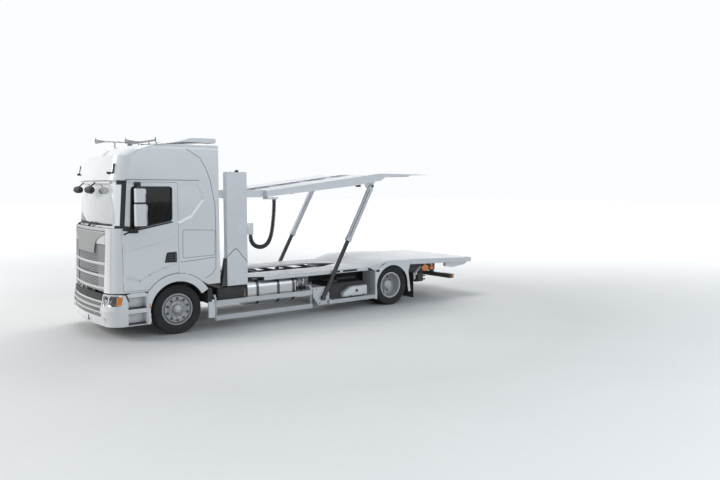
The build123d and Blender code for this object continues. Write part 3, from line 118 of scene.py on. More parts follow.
def noiseNode(tree, vector, scale, detail):
    inputs = {"Vector": vector, "Scale": scale, "Detail": detail, "Roughness": 0.55}
    return addNode(tree, "ShaderNodeTexNoise", inputs)["Fac"]


def mixColour(tree, share, first, second):
    return addNode(tree, "ShaderNodeMix", {0: share, 6: first, 7: second}, data_type="RGBA")[2]


def rangeNode(tree, value, *span):
    return addNode(tree, "ShaderNodeMapRange", dict(enumerate((value, *span))))[0]


def bumpNode(tree, height, strength, distance):
    inputs = {"Height": height, "Strength": strength, "Distance": distance}
    return addNode(tree, "ShaderNodeBump", inputs)["Normal"]


def objectPlace(tree):
    return addNode(tree, "ShaderNodeTexCoord", {})["Object"]


# Effects shared by the materials
def newGroup(name, inputs, outputs):
    group = bpy.data.node_groups.new(name, "ShaderNodeTree")
    for label, value in inputs.items():
        kind = "NodeSocketVector" if isinstance(value, tuple) else "NodeSocketFloat"
        group.interface.new_socket(label, in_out="INPUT", socket_type=kind).default_value = value
    for label in outputs:
        group.interface.new_socket(label, in_out="OUTPUT", socket_type="NodeSocketFloat")
    return group, objectPlace(group), addNode(group, "NodeGroupInput", {}), group.nodes.new("NodeGroupOutput")


def makeRoadDust():
    # Film of dust and spray that thins out with height, as a mask
    group, spot, given, result = newGroup("roadDust", {"Amount": 0.3, "Reach": 1.2, "Scale": 3.0}, ["Mask"])
    height = addNode(group, "ShaderNodeSeparateXYZ", {0: spot})["Z"]
    fall = mathNode(group, "SUBTRACT", 1.0, mathNode(group, "DIVIDE", height, given["Reach"]), True)
    broad = noiseNode(group, spot, given["Scale"], 6.0)
    mixed = multiply(group, broad, noiseNode(group, spot, 45.0, 3.0))
    scaled = multiply(group, multiply(group, mixed, 3.2), fall, True)
    feed(group, result, {"Mask": multiply(group, scaled, given["Amount"], True)})
    return group


def makeUnevenTone():
    # Broad patches with a fine speckle, and a height for bump
    group, spot, given, result = newGroup("unevenTone", {"Broad": 2.0, "Fine": 120.0}, ["Tone", "Height"])
    broad = multiply(group, noiseNode(group, spot, given["Broad"], 4.0), 0.7)
    fine = noiseNode(group, spot, given["Fine"], 2.0)
    feed(group, result, {"Tone": mathNode(group, "ADD", broad, multiply(group, fine, 0.3)), "Height": fine})
    return group


def makeBrushed():
    # Fine scratches drawn out along one direction
    group, spot, given, result = newGroup("brushed", {"Stretch": (3.0, 260.0, 260.0)}, ["Tone", "Height"])
    drawn = addNode(group, "ShaderNodeVectorMath", {0: spot, 1: given["Stretch"]}, operation="MULTIPLY")
    lines = noiseNode(group, drawn[0], 1.0, 5.0)
    feed(group, result, {"Tone": lines, "Height": lines})
    return group


roadDust = makeRoadDust()
unevenTone = makeUnevenTone()
brushed = makeBrushed()


def useGroup(tree, group, **values):
    return addNode(tree, "ShaderNodeGroup", values, node_tree=group)


def newMaterial(name):
    material = bpy.data.materials.new(name)
    material.use_nodes = True
    return material, material.node_tree, material.node_tree.nodes["Principled BSDF"]


def shadesOf(colour, *shades):
    return [(*[min(1.0, max(0.0, c * shade)) for c in colour], 1.0) for shade in shades]


dustColour = (0.33, 0.31, 0.28, 1.0)


def surface(name, colour, shades, group, effect, roughness, sockets, dust=None, dustGloss=0.0, bump=None):
    # Two shades of a colour mixed by an effect, then road dust over them and a fine bump
    words = name.split("_")
    material, tree, shader = newMaterial(words[0] + "".join(word.title() for word in words[1:]))
    made = useGroup(tree, group, **effect)
    base = mixColour(tree, made["Tone"], *shadesOf(colour, *shades))
    gloss = rangeNode(tree, made["Tone"], 0.3, 0.7, *roughness)
    if dust:
        film = useGroup(tree, roadDust, **dust)["Mask"]
        base = mixColour(tree, film, base, dustColour)
        if dustGloss:
            gloss = mathNode(tree, "ADD", gloss, multiply(tree, film, dustGloss), True)
    feed(tree, shader, {"Base Color": base, "Roughness": gloss, **sockets})
    if bump:
        feed(tree, shader, {"Normal": bumpNode(tree, made["Height"], *bump)})
    return material


def paint(name, colour, roughness, coat, dust, reach=1.3, metal=0.0, shade=0.04):
    # Painted or moulded surface with orange peel
    return surface(
        name, colour, (1 - 2 * shade, 1 + shade), unevenTone, {"Broad": 1.6, "Fine": 260.0}, roughness,
        {"Metallic": metal, "Coat Weight": coat, "Coat Roughness": 0.06},
        {"Amount": dust, "Reach": reach, "Scale": 2.5}, 0.5, (0.12, 0.0004),
    )


def grained(name, colour, roughness, dust, grain=420.0, depth=0.0012, reach=1.3):
    # Moulded plastic, rubber or rough iron with a visible grain
    return surface(
        name, colour, (0.75, 1.35), unevenTone, {"Broad": 3.0, "Fine": grain}, roughness, {},
        {"Amount": dust, "Reach": reach, "Scale": 3.5}, bump=(0.5, depth),
    )


def bareMetal(name, colour, roughness, dust, stretch):
    # Brushed or drawn metal
    return surface(
        name, colour, (0.82, 1.0), brushed, {"Stretch": stretch}, roughness, {"Metallic": 1.0},
        {"Amount": dust, "Reach": 1.3, "Scale": 3.0}, bump=(0.15, 0.0006),
    )


def glass(name, colour, transmission=1.0, ior=1.45, coat=0.0):
    # Glass with a faint waviness
    return surface(
        name, colour, (0.9, 1.0), unevenTone, {"Broad": 1.2, "Fine": 18.0}, (0.02, 0.05),
        {"Transmission Weight": transmission, "IOR": ior, "Coat Weight": coat},
    )


def fabric(name, colour, weave):
    # Woven cover: crossed threads in colour and height
    material, tree, shader = newMaterial(name)
    inputs = {"Vector": objectPlace(tree), "Scale": weave, "Distortion": 0.4}
    waves = [addNode(tree, "ShaderNodeTexWave", inputs, bands_direction=way)["Fac"] for way in ("X", "Z")]
    threads = multiply(tree, *waves)
    tone = useGroup(tree, unevenTone, Broad=6.0, Fine=300.0)["Tone"]
    mixed = mathNode(tree, "ADD", multiply(tree, threads, 0.5), multiply(tree, tone, 0.5))
    feed(tree, shader, {
        "Base Color": mixColour(tree, mixed, *shadesOf(colour, 0.6, 1.4)),
        "Roughness": rangeNode(tree, tone, 0.2, 0.8, 0.75, 0.95),
        "Normal": bumpNode(tree, threads, 0.4, 0.001),
        "Sheen Weight": 0.3,
    })
    return material


paints = {  # colour, roughness, coat, dust, the dust's reach in height, metal, unevenness
    "white_paint": ((0.8, 0.81, 0.82), (0.16, 0.26), 0.8, 0.18, 1.5),
    "roof_white": ((0.74, 0.75, 0.76), (0.35, 0.5), 0.2, 0.0),
    "deck_paint": ((0.79, 0.8, 0.82), (0.35, 0.5), 0.2, 0.35, 2.0),
    "deck_plate": ((0.78, 0.79, 0.81), (0.4, 0.55), 0.1, 0.0),
    "tower_paint": ((0.77, 0.78, 0.8), (0.22, 0.34), 0.5, 0.22, 1.6),
    "guard_paint": ((0.7, 0.71, 0.73), (0.3, 0.45), 0.3, 0.4),
    "silver_paint": ((0.66, 0.66, 0.66), (0.35, 0.5), 0.2, 0.35, 1.3, 0.4),
    "rim_silver": ((0.34, 0.35, 0.37), (0.3, 0.45), 0.3, 0.35, 1.3, 0.5),
    "grille_grey": ((0.53, 0.53, 0.54), (0.3, 0.45), 0.3, 0.2, 1.3, 0.3),
    "black_frame": ((0.03, 0.03, 0.033), (0.4, 0.6), 0.1, 0.45, 1.3, 0.0, 0.2),
    "mirror_housing": ((0.76, 0.77, 0.78), (0.25, 0.35), 0.5, 0.0),
    "ram_post": ((0.025, 0.026, 0.03), (0.35, 0.5), 0.1, 0.2, 1.3, 0.0, 0.15),
    "ram_sleeve": ((0.58, 0.61, 0.65), (0.3, 0.42), 0.3, 0.1, 1.3, 0.3),
    "amber_lamp": ((0.75, 0.22, 0.02), (0.12, 0.2), 0.8, 0.1),
    "galvanised": ((0.68, 0.7, 0.72), (0.28, 0.5), 0.1, 0.5, 1.3, 0.2),
    "mirror_skin": ((0.7, 0.73, 0.76), (0.03, 0.07), 1.0, 0.0, 1.3, 0.85),
    "column_grey": ((0.24, 0.24, 0.25), (0.3, 0.45), 0.2, 0.2),
    "shield_grey": ((0.38, 0.38, 0.37), (0.25, 0.4), 0.4, 0.2, 1.3, 0.2),
    # Brighter copy of rim_silver for the rear rims, which sit in shade under the arch: painted light
    "rear_rim_silver": ((0.62, 0.63, 0.65), (0.3, 0.45), 0.3, 0.3, 1.3, 0.5),
}
grains = {  # colour, roughness, dust, grain's scale and depth, the dust's reach
    "dark_iron": ((0.09, 0.09, 0.1), (0.55, 0.8), 0.5, 180.0, 0.002),
    "black_plastic": ((0.013, 0.014, 0.017), (0.5, 0.7), 0.12),
    "cab_trim": ((0.08, 0.08, 0.09), (0.5, 0.7), 0.0),
    "tyre_rubber": ((0.008, 0.009, 0.011), (0.75, 0.95), 0.08, 260.0, 0.0012, 1.1),
    "black_rubber": ((0.025, 0.025, 0.026), (0.6, 0.8), 0.4),
    "hose_rubber": ((0.03, 0.03, 0.033), (0.5, 0.65), 0.1, 700.0, 0.0012, 2.5),
}
metals = {  # colour, roughness, dust, the grain's stretch
    "tank_aluminium": ((0.66, 0.67, 0.69), (0.22, 0.42), 0.15, (3.0, 260.0, 260.0)),
    "strap_steel": ((0.1, 0.11, 0.13), (0.22, 0.42), 0.15, (60.0, 60.0, 4.0)),
    "bar_steel": ((0.4, 0.41, 0.43), (0.12, 0.25), 0.0, (220.0, 4.0, 220.0)),
}
glasses = {  # colour, transmission, index of refraction, coat
    "tinted_glass": ((0.16, 0.2, 0.2),),
    "lamp_glass": ((0.9, 0.93, 0.95),),
    # The windscreen lets only part of the light through and shows the rest as milky white colour: painted reflection of
    # the bright sky
    "screen_glass": ((0.9, 0.93, 0.95), 0.55, 1.9, 1.0),
}
finishes = {"seat_fabric": fabric("seatFabric", (0.09, 0.09, 0.11), 150.0)}
for make, rows in ((paint, paints), (grained, grains), (bareMetal, metals), (glass, glasses)):
    finishes.update({name: make(name, *values) for name, values in rows.items()})
finishOf = {row["node"]: row["material_slot"] for row in frame["record"]["subparts"]}
# The rear rims take the brightened copy of rim_silver: painted light
finishOf.update(rear_rims_left="rear_rim_silver", rear_rims_right="rear_rim_silver", windscreen="screen_glass")
for nodeName, node in frame["nodes"].items():
    node.data.materials.clear()
    node.data.materials.append(finishes[finishOf[nodeName]])
print("materials ready")

# Pale floor that fades into the white sky where the camera sees it
floorLook = {"size": 120.0, "colour": (0.74, 0.74, 0.73), "fade": (6.5, 22.0), "glow": 0.75}
whiteLight = (0.97, 0.98, 1.0, 1.0)
floorMesh = bmesh.new()
bmesh.ops.create_grid(floorMesh, x_segments=1, y_segments=1, size=floorLook["size"])
floorData = bpy.data.meshes.new("floor")
floorMesh.to_mesh(floorData)
floor = newObject("floor", floorData)
floorMaterial, tree, shader = newMaterial("paleFloor")
floorTone = useGroup(tree, unevenTone, Broad=0.4, Fine=9.0)["Tone"]
floorReach = addNode(tree, "ShaderNodeVectorMath", {0: objectPlace(tree)}, operation="LENGTH")["Value"]
floorGlow = rangeNode(tree, floorReach, *floorLook["fade"], 0.0, floorLook["glow"])
floorSeen = addNode(tree, "ShaderNodeLightPath", {})["Is Camera Ray"]
feed(tree, shader, {
    "Base Color": mixColour(tree, floorTone, (0.66, 0.66, 0.65, 1.0), (*floorLook["colour"], 1.0)),
    "Roughness": 0.9,
    "Emission Color": whiteLight,
    "Emission Strength": multiply(tree, floorGlow, floorSeen),
})
floor.data.materials.append(floorMaterial)

world = bpy.context.scene.world = bpy.data.worlds.new("sky")
world.use_nodes = True
skyTree = world.node_tree
skyLight = skyTree.nodes["Background"]
feed(skyTree, skyLight, {"Color": (0.84, 0.92, 1.0, 1.0), "Strength": 0.45})
whiteSky = addNode(skyTree, "ShaderNodeBackground", {"Color": whiteLight, "Strength": 1.0})[0]
rays = addNode(skyTree, "ShaderNodeLightPath", {})
seen = mathNode(skyTree, "MAXIMUM", rays["Is Camera Ray"], rays["Is Transmission Ray"])
seen = mathNode(skyTree, "MAXIMUM", seen, rays["Is Glossy Ray"])
skyMix = addNode(skyTree, "ShaderNodeMixShader", {0: seen, 1: skyLight.outputs[0], 2: whiteSky})[0]
feed(skyTree, skyTree.nodes["World Output"], {"Surface": skyMix})

# Lamps: place, aim, size, power and colour
lamps = {
    "frontLamp": ((-17.0, 6.0, 9.0), (-3.5, 0.0, 1.8), (8.0, 6.0), 1650, (1.0, 0.99, 0.96)),
    "topLamp": ((1.0, 3.0, 14.0), (0.5, 0.0, 1.0), (10.0, 6.0), 850, (1.0, 0.99, 0.97)),
    "sideLamp": ((2.0, -16.0, 7.0), (0.0, 0.0, 1.2), (9.0, 5.0), 470, (0.8, 0.9, 1.0)),
    "rearLamp": ((14.0, 8.0, 9.0), (1.0, 0.0, 1.5), (8.0, 6.0), 600, (1.0, 1.0, 1.0)),
}
for name, (place, aim, size, power, colour) in lamps.items():
    data = bpy.data.lights.new(name, "AREA")
    data.shape = "RECTANGLE"
    data.size, data.size_y = size
    data.energy = power
    data.color = colour
    newObject(name, data, place, Vector(aim) - Vector(place))
bpy.context.scene.view_settings.view_transform = "Standard"
print("camera, floor and lamps ready")


def isVert(element):
    return isinstance(element, bmesh.types.BMVert)


def keep(name, mesh, body, slotName, look=None, limit=0.6, merge=True):
    # Turns a bmesh into a piece that rides on a body, smooth where faces meet below the limit
    if merge:
        bmesh.ops.remove_doubles(mesh, verts=mesh.verts, dist=0.00002)
        bmesh.ops.recalc_face_normals(mesh, faces=mesh.faces)
    for face in mesh.faces:
        face.smooth = True
    for edge in mesh.edges:
        edge.smooth = len(edge.link_faces) == 2 and edge.calc_face_angle(0) < limit
    data = bpy.data.meshes.new(name)
    mesh.to_mesh(data)
    mesh.free()
    piece = newObject(name, data)
    data.materials.append(finishes[look or slotName])
    if body:
        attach(piece, body)
    return piece


def softenEdges(mesh, edges, offset, segments=2):
    bmesh.ops.bevel(
        mesh, geom=list(edges), offset=offset, affect="EDGES", segments=segments, profile=0.5, material=-1
    )


def addBox(mesh, low, high, soften=0.0, segments=2):
    middle = [(a + b) / 2 for a, b in zip(low, high)]
    size = [abs(b - a) for a, b in zip(low, high)]
    made = bmesh.ops.create_cube(mesh, size=1.0, matrix=Matrix.Translation(middle) @ Matrix.Diagonal((*size, 1.0)))
    if soften:
        softenEdges(mesh, {e for v in made["verts"] for e in v.link_edges}, soften, segments)


def addRod(mesh, start, end, radius, segments=16, endRadius=None):
    run = Vector(end) - Vector(start)
    turn = run.to_track_quat("Z", "Y").to_matrix().to_4x4()
    bmesh.ops.create_cone(
        mesh, cap_ends=True, segments=segments, radius1=radius, radius2=radius if endRadius is None else endRadius,
        depth=run.length, matrix=Matrix.Translation((Vector(start) + Vector(end)) / 2) @ turn,
    )


def addSpin(mesh, profile, centre, axis, steps=48, closed=False):
    # Profile of distance along the axis and radius, spun right round
    along = Vector(axis).normalized()
    out = along.orthogonal().normalized()
    verts = [mesh.verts.new(Vector(centre) + along * distance + out * radius) for distance, radius in profile]
    edges = [mesh.edges.new(pair) for pair in runs(verts)]
    if closed:
        edges.append(mesh.edges.new((verts[-1], verts[0])))
    bmesh.ops.spin(mesh, geom=verts + edges, cent=centre, axis=along, angle=2 * math.pi, steps=steps, use_merge=True)


def addPrism(mesh, outline, offset, soften=0.0):
    # A closed outline of points, pushed out along a vector
    face = mesh.faces.new([mesh.verts.new(p) for p in outline])
    moved = [g for g in bmesh.ops.extrude_face_region(mesh, geom=[face])["geom"] if isVert(g)]
    bmesh.ops.translate(mesh, verts=moved, vec=offset)
    if soften:
        softenEdges(mesh, {e for v in (*moved, *face.verts) for e in v.link_edges}, soften)


def addStrip(mesh, side, points, width, proud, depth=0.004):
    # A thin strip laid on the truck's side along points of station and height
    for (s0, z0), (s1, z1) in runs(points):
        run = Vector((s1 - s0, 0, z1 - z0))
        if run.length < 1e-6:
            continue
        across = Vector((-run.z, 0, run.x)).normalized() * width / 2
        start, end = [Vector((at(s), side * bodySide, z)) for s, z in ((s0, z0), (s1, z1))]
        grow = run.normalized() * width * 0.3
        corners = [start - grow - across, end + grow - across, end + grow + across, start - grow + across]
        addPrism(mesh, [c + Vector((0, side * proud, 0)) for c in corners], (0, -side * (proud + depth), 0))


def onSide(point, side):
    return at(point[0]), side * point[1], point[2]


def addShapes(mesh, side, boxes=(), rods=(), spins=(), strips=(), prisms=()):
    # Boxes are given by their two stations, distances from the middle and heights, then the edges' softening
    for x0, x1, y0, y1, z0, z1, *soften in boxes:
        addBox(mesh, (at(x0), side * y0, z0), (at(x1), side * y1, z1), *soften)
    for start, end, *size in rods:
        addRod(mesh, onSide(start, side), onSide(end, side), *size)
    for profile, centre, axis, *size in spins:
        addSpin(mesh, profile, onSide(centre, side), (axis[0], side * axis[1], axis[2]), *size)
    for points, *size in strips:
        addStrip(mesh, side, points, *size)
    for outline, out, *soften in prisms:
        addPrism(mesh, [onSide(point, side) for point in outline], (0, side * out, 0), *soften)


# These pieces ride on the chassis unless another body is given
def single(name, slotName, body="chassis", merge=False, **shapes):
    mesh = bmesh.new()
    addShapes(mesh, 1, **shapes)
    keep(name, mesh, body, slotName, merge=merge)


def eachSide(label, body, slotName, look=None, **options):
    # A mesh for each side of the truck, kept once it is filled; a body that ends in _ has one for each side
    for name, side in sides:
        mesh = bmesh.new()
        yield mesh, side
        keep(f"{label}.{name}", mesh, body + name if body.endswith("_") else body, slotName, look, **options)


def pair(label, slotName, body="chassis", look=None, merge=False, **shapes):
    for mesh, side in eachSide(label, body, slotName, look, merge=merge):
        addShapes(mesh, side, **shapes)


# Hydraulic hose between the tower and the lift carriage
hose = {
    "route": (
        (-1.71, -1.15, 1.84), (-1.71, -1.15, 1.745), (-1.665, -1.148, 1.652), (-1.582, -1.145, 1.591),
        (-1.48, -1.142, 1.567), (-1.377, -1.138, 1.589), (-1.293, -1.134, 1.652), (-1.236, -1.13, 1.752),
        (-1.195, -1.126, 1.89), (-1.165, -1.122, 2.07), (-1.144, -1.12, 2.265), (-1.133, -1.12, 2.433),
        (-1.133, -1.12, 2.556),
    ),
    "diameter": 0.062,
    "length": 1.536,
    "ringPitch": 0.026,
    "ringRadius": 0.045,
    "bend": {"start": (-1.63, -1.135, 1.6), "end": (-0.87, -1.135, 1.9)},
}
hoseCurve = bpy.data.curves.new("deckHose", "CURVE")
hoseCurve.dimensions = "3D"
hoseCurve.resolution_u = 16
hoseSpline = hoseCurve.splines.new("NURBS")
hoseSpline.points.add(len(hose["route"]) - 1)
for point, spot in zip(hoseSpline.points, hose["route"]):
    point.co = (*spot, 1.0)
hoseSpline.order_u = 3
hoseSpline.use_endpoint_u = True
hoseLine = newObject("hoseLine", hoseCurve)
hosePath = [tuple(v.co) for v in bpy.data.meshes.new_from_object(hoseLine).vertices]
hoseCurve.bevel_depth = hose["diameter"] / 2
hoseCurve.bevel_resolution = 6
hoseCurve.use_fill_caps = True
hoseMesh = bmesh.new()
hoseMesh.from_mesh(bpy.data.meshes.new_from_object(hoseLine))
bpy.data.objects.remove(hoseLine)
deckHose = keep("deckHose", hoseMesh, None, "hose_rubber")
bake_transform(deckHose)
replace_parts(deckHose, "deck_hose")


def alongPath(points, pitch):
    # Places and directions at an even pitch along a line of points
    spots, carried = [], 0.0
    for start, end in runs(points):
        run = Vector(end) - Vector(start)
        while carried <= run.length:
            spots.append((Vector(start) + run * (carried / run.length), run.normalized()))
            carried += pitch
        carried -= run.length
    return spots


mesh = bmesh.new()
for spot, direction in alongPath(hosePath, hose["ringPitch"])[2:-2]:
    addRod(mesh, spot - direction * 0.007, spot + direction * 0.007, hose["ringRadius"], 14)
hoseRings = keep("hoseRings", mesh, None, "hose_rubber", merge=False)
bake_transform(hoseRings)
for name, body, top, bottom in (
    ("hoseFoot", "chassis", (1.595, -1.15, 1.842), (1.595, -1.15, 1.8)),
    ("hoseHead", "carriage", (2.172, -1.12, 2.557), (2.172, -1.12, 2.51)),
):
    single(name, "strap_steel", body, merge=True, rods=[(top, bottom, 0.038, 20)])
print("hose ready")

wheel = {
    "radius": 0.475,
    "steps": 120,
    "grooves": (0.58, 0.2, -0.2, -0.58),  # shares of the tyre's half width
    "grooveWidth": 0.006,
    "grooveDepth": 0.013,
    "lugRecess": -0.007,
    "wall": (  # distance in from the side, radius
        (0.037, 0.2853), (0.037, 0.307), (0.026, 0.3085), (0.014, 0.316), (0.012, 0.326), (0.005, 0.33),
        (0.002, 0.352), (0.0, 0.378), (0.0, 0.392), (0.004, 0.398), (0.006, 0.428), (0.003, 0.434),
        (0.007, 0.45), (0.015, 0.463), (0.026, 0.4715), (0.036, 0.4742),
    ),
}
axles = {
    "front": {
        "tyre": "frontTyre", "node": "front_tyre", "x": frontAxleX, "hubs": (1.045,), "half": 0.155,
        "nuts": ((0.152, 0.11, 0.026, 0.016), (0.1, 0.156, 0.006, 0.007)),  # ring, base, height, radius
        "holes": (0.209, 0.1275, 0.0285),  # ring, face, radius
        "cap": ((0.171, 0.058), (0.178, 0.056), (0.182, 0.04), (0.184, 0.0)),
    },
    "rear": {
        "tyre": "rearTyres", "node": "rear_tyres", "x": rearAxleX, "hubs": (1.09, 0.765), "half": 0.145,
        "nuts": ((0.166, -0.16, 0.03, 0.016), (0.085, -0.005, 0.034, 0.008)),
        "holes": (0.209, -0.1635, 0.031),
        "cap": ((0.044, 0.078), (0.052, 0.074), (0.056, 0.05), (0.058, 0.0)),
    },
}


def tyreProfile(half):
    # Closed section of one tyre: bead, bulging wall, shoulder, crown with four grooves
    wall = [(half - inset, radius) for inset, radius in wheel["wall"]]
    width, top, floor = wheel["grooveWidth"], wheel["radius"], wheel["radius"] - wheel["grooveDepth"]
    crown = []
    for middle in [share * half for share in wheel["grooves"]]:
        groove = ((width, top), (width * 0.6, floor), (-width * 0.6, floor), (-width, top))
        crown += [(middle + shift, radius) for shift, radius in groove]
    return [*wall, *crown, *[(-distance, radius) for distance, radius in reversed(wall)]]


def addTyre(mesh, centre, side, half):
    before = set(mesh.faces)
    addSpin(mesh, tyreProfile(half), centre, (0, side, 0), wheel["steps"], closed=True)
    fresh = [f for f in mesh.faces if f not in before]
    lugs = []
    for face in fresh:
        middle = face.calc_center_median() - Vector(centre)
        radius = math.hypot(middle.x, middle.z)
        turn = round(math.degrees(math.atan2(middle.z, middle.x)) * wheel["steps"] / 360 - 0.5)
        shoulder = 0.466 < radius < 0.4749 and abs(middle.y) > half - 0.04
        rib = radius > 0.4745 and abs(middle.y) < 0.5 * half
        if (shoulder and turn % 3 == 0) or (rib and turn % 4 == 0):
            lugs.append(face)
    bmesh.ops.recalc_face_normals(mesh, faces=fresh)
    bmesh.ops.inset_individual(mesh, faces=lugs, thickness=0.0015, depth=wheel["lugRecess"], use_even_offset=False)


def ringSpots(centre, ring, count=10):
    # Points round an axle, half a step from its level
    for index in range(count):
        turn = 2 * math.pi * (index + 0.5) / count
        yield centre[0] + ring * math.cos(turn), centre[2] + ring * math.sin(turn)


for name, side in sides:
    for label, axle in axles.items():
        hubs = [(axle["x"], side * y, axleHeight) for y in axle["hubs"]]
        hubY = hubs[0][1]
        body = f"{label}_wheel_{name}"
        mesh = bmesh.new()
        for hub in hubs:
            addTyre(mesh, hub, side, axle["half"])
        tyre = keep(f"{axle['tyre']}.{name}", mesh, body, "tyre_rubber", limit=0.5)
        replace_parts(tyre, f"{axle['node']}_{name}")
        mesh = bmesh.new()
        for ring, base, height, radius in axle["nuts"]:
            foot, tip = hubY + side * base, hubY + side * (base + height)
            for x, z in ringSpots(hubs[0], ring):
                addRod(mesh, (x, foot, z), (x, foot + side * 0.006, z), radius * 1.35, 12)
                addRod(mesh, (x, foot, z), (x, tip, z), radius, 6)
                addRod(mesh, (x, tip, z), (x, tip + side * 0.008, z), radius * 0.55, 8)
        keep(f"{label}WheelNuts.{name}", mesh, body, "bar_steel", merge=False)
        # Black discs in the hand holes: painted shade for the wheel's shaded inside seen through them
        mesh = bmesh.new()
        ring, face, radius = axle["holes"]
        for x, z in ringSpots(hubs[0], ring):
            addRod(mesh, (x, hubY + side * face, z), (x, hubY + side * (face + 0.0015), z), radius, 20)
        keep(f"{label}HandHoleShades.{name}", mesh, body, "black_rubber", merge=False)
        mesh = bmesh.new()
        addSpin(mesh, axle["cap"], hubs[0], (0, side, 0), 32)
        keep(f"{label}HubCap.{name}", mesh, body, "grille_grey")
print("wheels ready")

nose = {
    "flat": 0.95,  # half width of the bowed face
    "corner": 0.3,
    "bow": 0.08,
    "grille": 0.9,  # half width of the grille at its low height, and how it widens upwards
    "low": 0.53,
    "widen": 0.085 / 1.47,
}


def noseX(height, y, levels, inset=0.0):
    # Place along X of the bowed nose at a height and a distance from the middle
    for (low, lowNose), (high, highNose) in runs(levels):
        if height <= high:
            station = lowNose + (height - low) / (high - low) * (highNose - lowNose)
            break
    else:
        station = levels[-1][1]
    radius = (nose["flat"] ** 2 + nose["bow"] ** 2) / (2 * nose["bow"])
    return at(station) + inset + radius - math.sqrt(radius**2 - min(abs(y), nose["flat"]) ** 2)


# Height and station of the nose's face, from low to high
cabFace = ((0.885, -1.36), (2.06, -1.32))
cowlFace = ((1.9, -1.32), (2.2, -1.32))
screenFace = ((2.06, -1.235), (2.93, -1.175))
bumperFace = ((0.27, -1.375), (0.56, -1.42), (0.86, -1.362))


def addBowedBar(mesh, levels, low, high, front, depth, half=None, steps=24, soften=0.0, shrink=0.003, lean=0.0):
    # A bar across the bowed nose between two heights, swept in short steps
    middle = (low + high) / 2
    reach = (half or nose["grille"] + (middle - nose["low"]) * nose["widen"]) - shrink
    rows = [(noseX(middle, y, levels, front), y) for y in spread(-reach, reach, steps)]
    x, y = rows[0]
    section = ((x + lean, y, low), (x, y, high), (x + depth, y, high), (x + depth, y, low))
    first = face = mesh.faces.new([mesh.verts.new(p) for p in section])
    verts = list(face.verts)
    for (x0, y0), (x1, y1) in runs(rows):
        grown = bmesh.ops.extrude_face_region(mesh, geom=[face])["geom"]
        moved = [g for g in grown if isVert(g)]
        bmesh.ops.translate(mesh, verts=moved, vec=(x1 - x0, y1 - y0, 0))
        if face is not first:
            mesh.faces.remove(face)
        face = next(g for g in grown if isinstance(g, bmesh.types.BMFace))
        verts += moved
    if soften:
        spans = {e: e.verts[0].co - e.verts[1].co for v in verts for e in v.link_edges}
        softenEdges(mesh, [e for e, run in spans.items() if abs(run.z) < 1e-6 and abs(run.y) > 0.01], soften)


def bowedPiece(name, body, slotName, levels, bars, merge=True, **shape):
    mesh = bmesh.new()
    for bar in bars:
        addBowedBar(mesh, levels, *bar, **shape)
    return keep(name, mesh, body, slotName, merge=merge)


grille = {
    "low": 0.893,
    "panelLow": 1.76,
    "top": 1.994,
    "slats": (1.384, 1.159, 0.934),
    "slatHeight": 0.052,
    "meshPitch": 0.03,
    "meshBar": 0.009,
    "ribs": 26,
    "columns": (0.66, 0.955),
    "shield": ((1.59, 0.5), (1.75, 0.545), (1.83, 0.61), (1.89, 0.76), (1.935, 0.93), (1.985, 0.945)),
}
bowedPiece("grilleBacking", "cab", "black_plastic", cabFace, [(grille["low"], grille["panelLow"], 0.036, 0.01)])
mesh = bmesh.new()
row = grille["low"] + 0.02
while row < grille["panelLow"] - 0.02:
    if not any(-0.012 < row - s < grille["slatHeight"] + 0.006 for s in grille["slats"]):
        addBowedBar(mesh, cabFace, row, row + grille["meshBar"], 0.018, 0.018, steps=12)
    row += grille["meshPitch"]
for y in spread(-0.86, 0.86, grille["ribs"]):
    x = noseX(1.3, y, cabFace)
    addBox(mesh, (x + 0.026, y - 0.003, grille["low"] + 0.006), (x + 0.04, y + 0.003, grille["panelLow"] - 0.004))
keep("grilleMesh", mesh, "cab", "grille_grey", merge=False)
mesh = bmesh.new()
for low in grille["slats"]:
    addBowedBar(mesh, cabFace, low, low + grille["slatHeight"], -0.006, 0.04, soften=0.006, lean=0.01)
low, high = grille["panelLow"], grille["top"]
addBowedBar(mesh, cabFace, low, high, 0.004, 0.034, soften=0.006)
addBowedBar(mesh, cabFace, low + 0.018, high - 0.022, -0.001, 0.02, shrink=0.05, soften=0.004)
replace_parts(keep("grilleSlats", mesh, "cab", "silver_paint"), "cab_grille")


def bridgeRows(mesh, rows):
    # A skin over rows of points, each row one run across
    rings = []
    for row in rows:
        verts = [mesh.verts.new(p) for p in row]
        rings.append([mesh.edges.new(pair) for pair in runs(verts)])
    made = []
    for lower, upper in runs(rings):
        made += bmesh.ops.bridge_loops(mesh, edges=lower + upper)["faces"]
    return made


def addNoseSheet(mesh, rows, inset, depth, steps=14):
    # A sheet with thickness that follows the bowed nose, given as rows of height and two ends
    points = []
    for height, low, high in rows:
        points.append([(noseX(height, y, cabFace, inset), y, height) for y in spread(low, high, steps)])
    bmesh.ops.solidify(mesh, geom=bridgeRows(mesh, points), thickness=depth)
    bmesh.ops.recalc_face_normals(mesh, faces=mesh.faces)


mesh = bmesh.new()
addNoseSheet(mesh, [(height, -half, half) for height, half in grille["shield"]], -0.006, 0.006)
keep("grilleShield", mesh, "cab", "grille_grey", "shield_grey")
mesh = bmesh.new()
for name, side in sides:
    inner, outer = [side * y for y in grille["columns"]]
    addNoseSheet(mesh, [(height, inner, outer) for height in (0.9, 1.32, 1.75)], 0.014, 0.004, steps=6)
keep("grilleColumns", mesh, "cab", "grille_grey", "column_grey", merge=False)

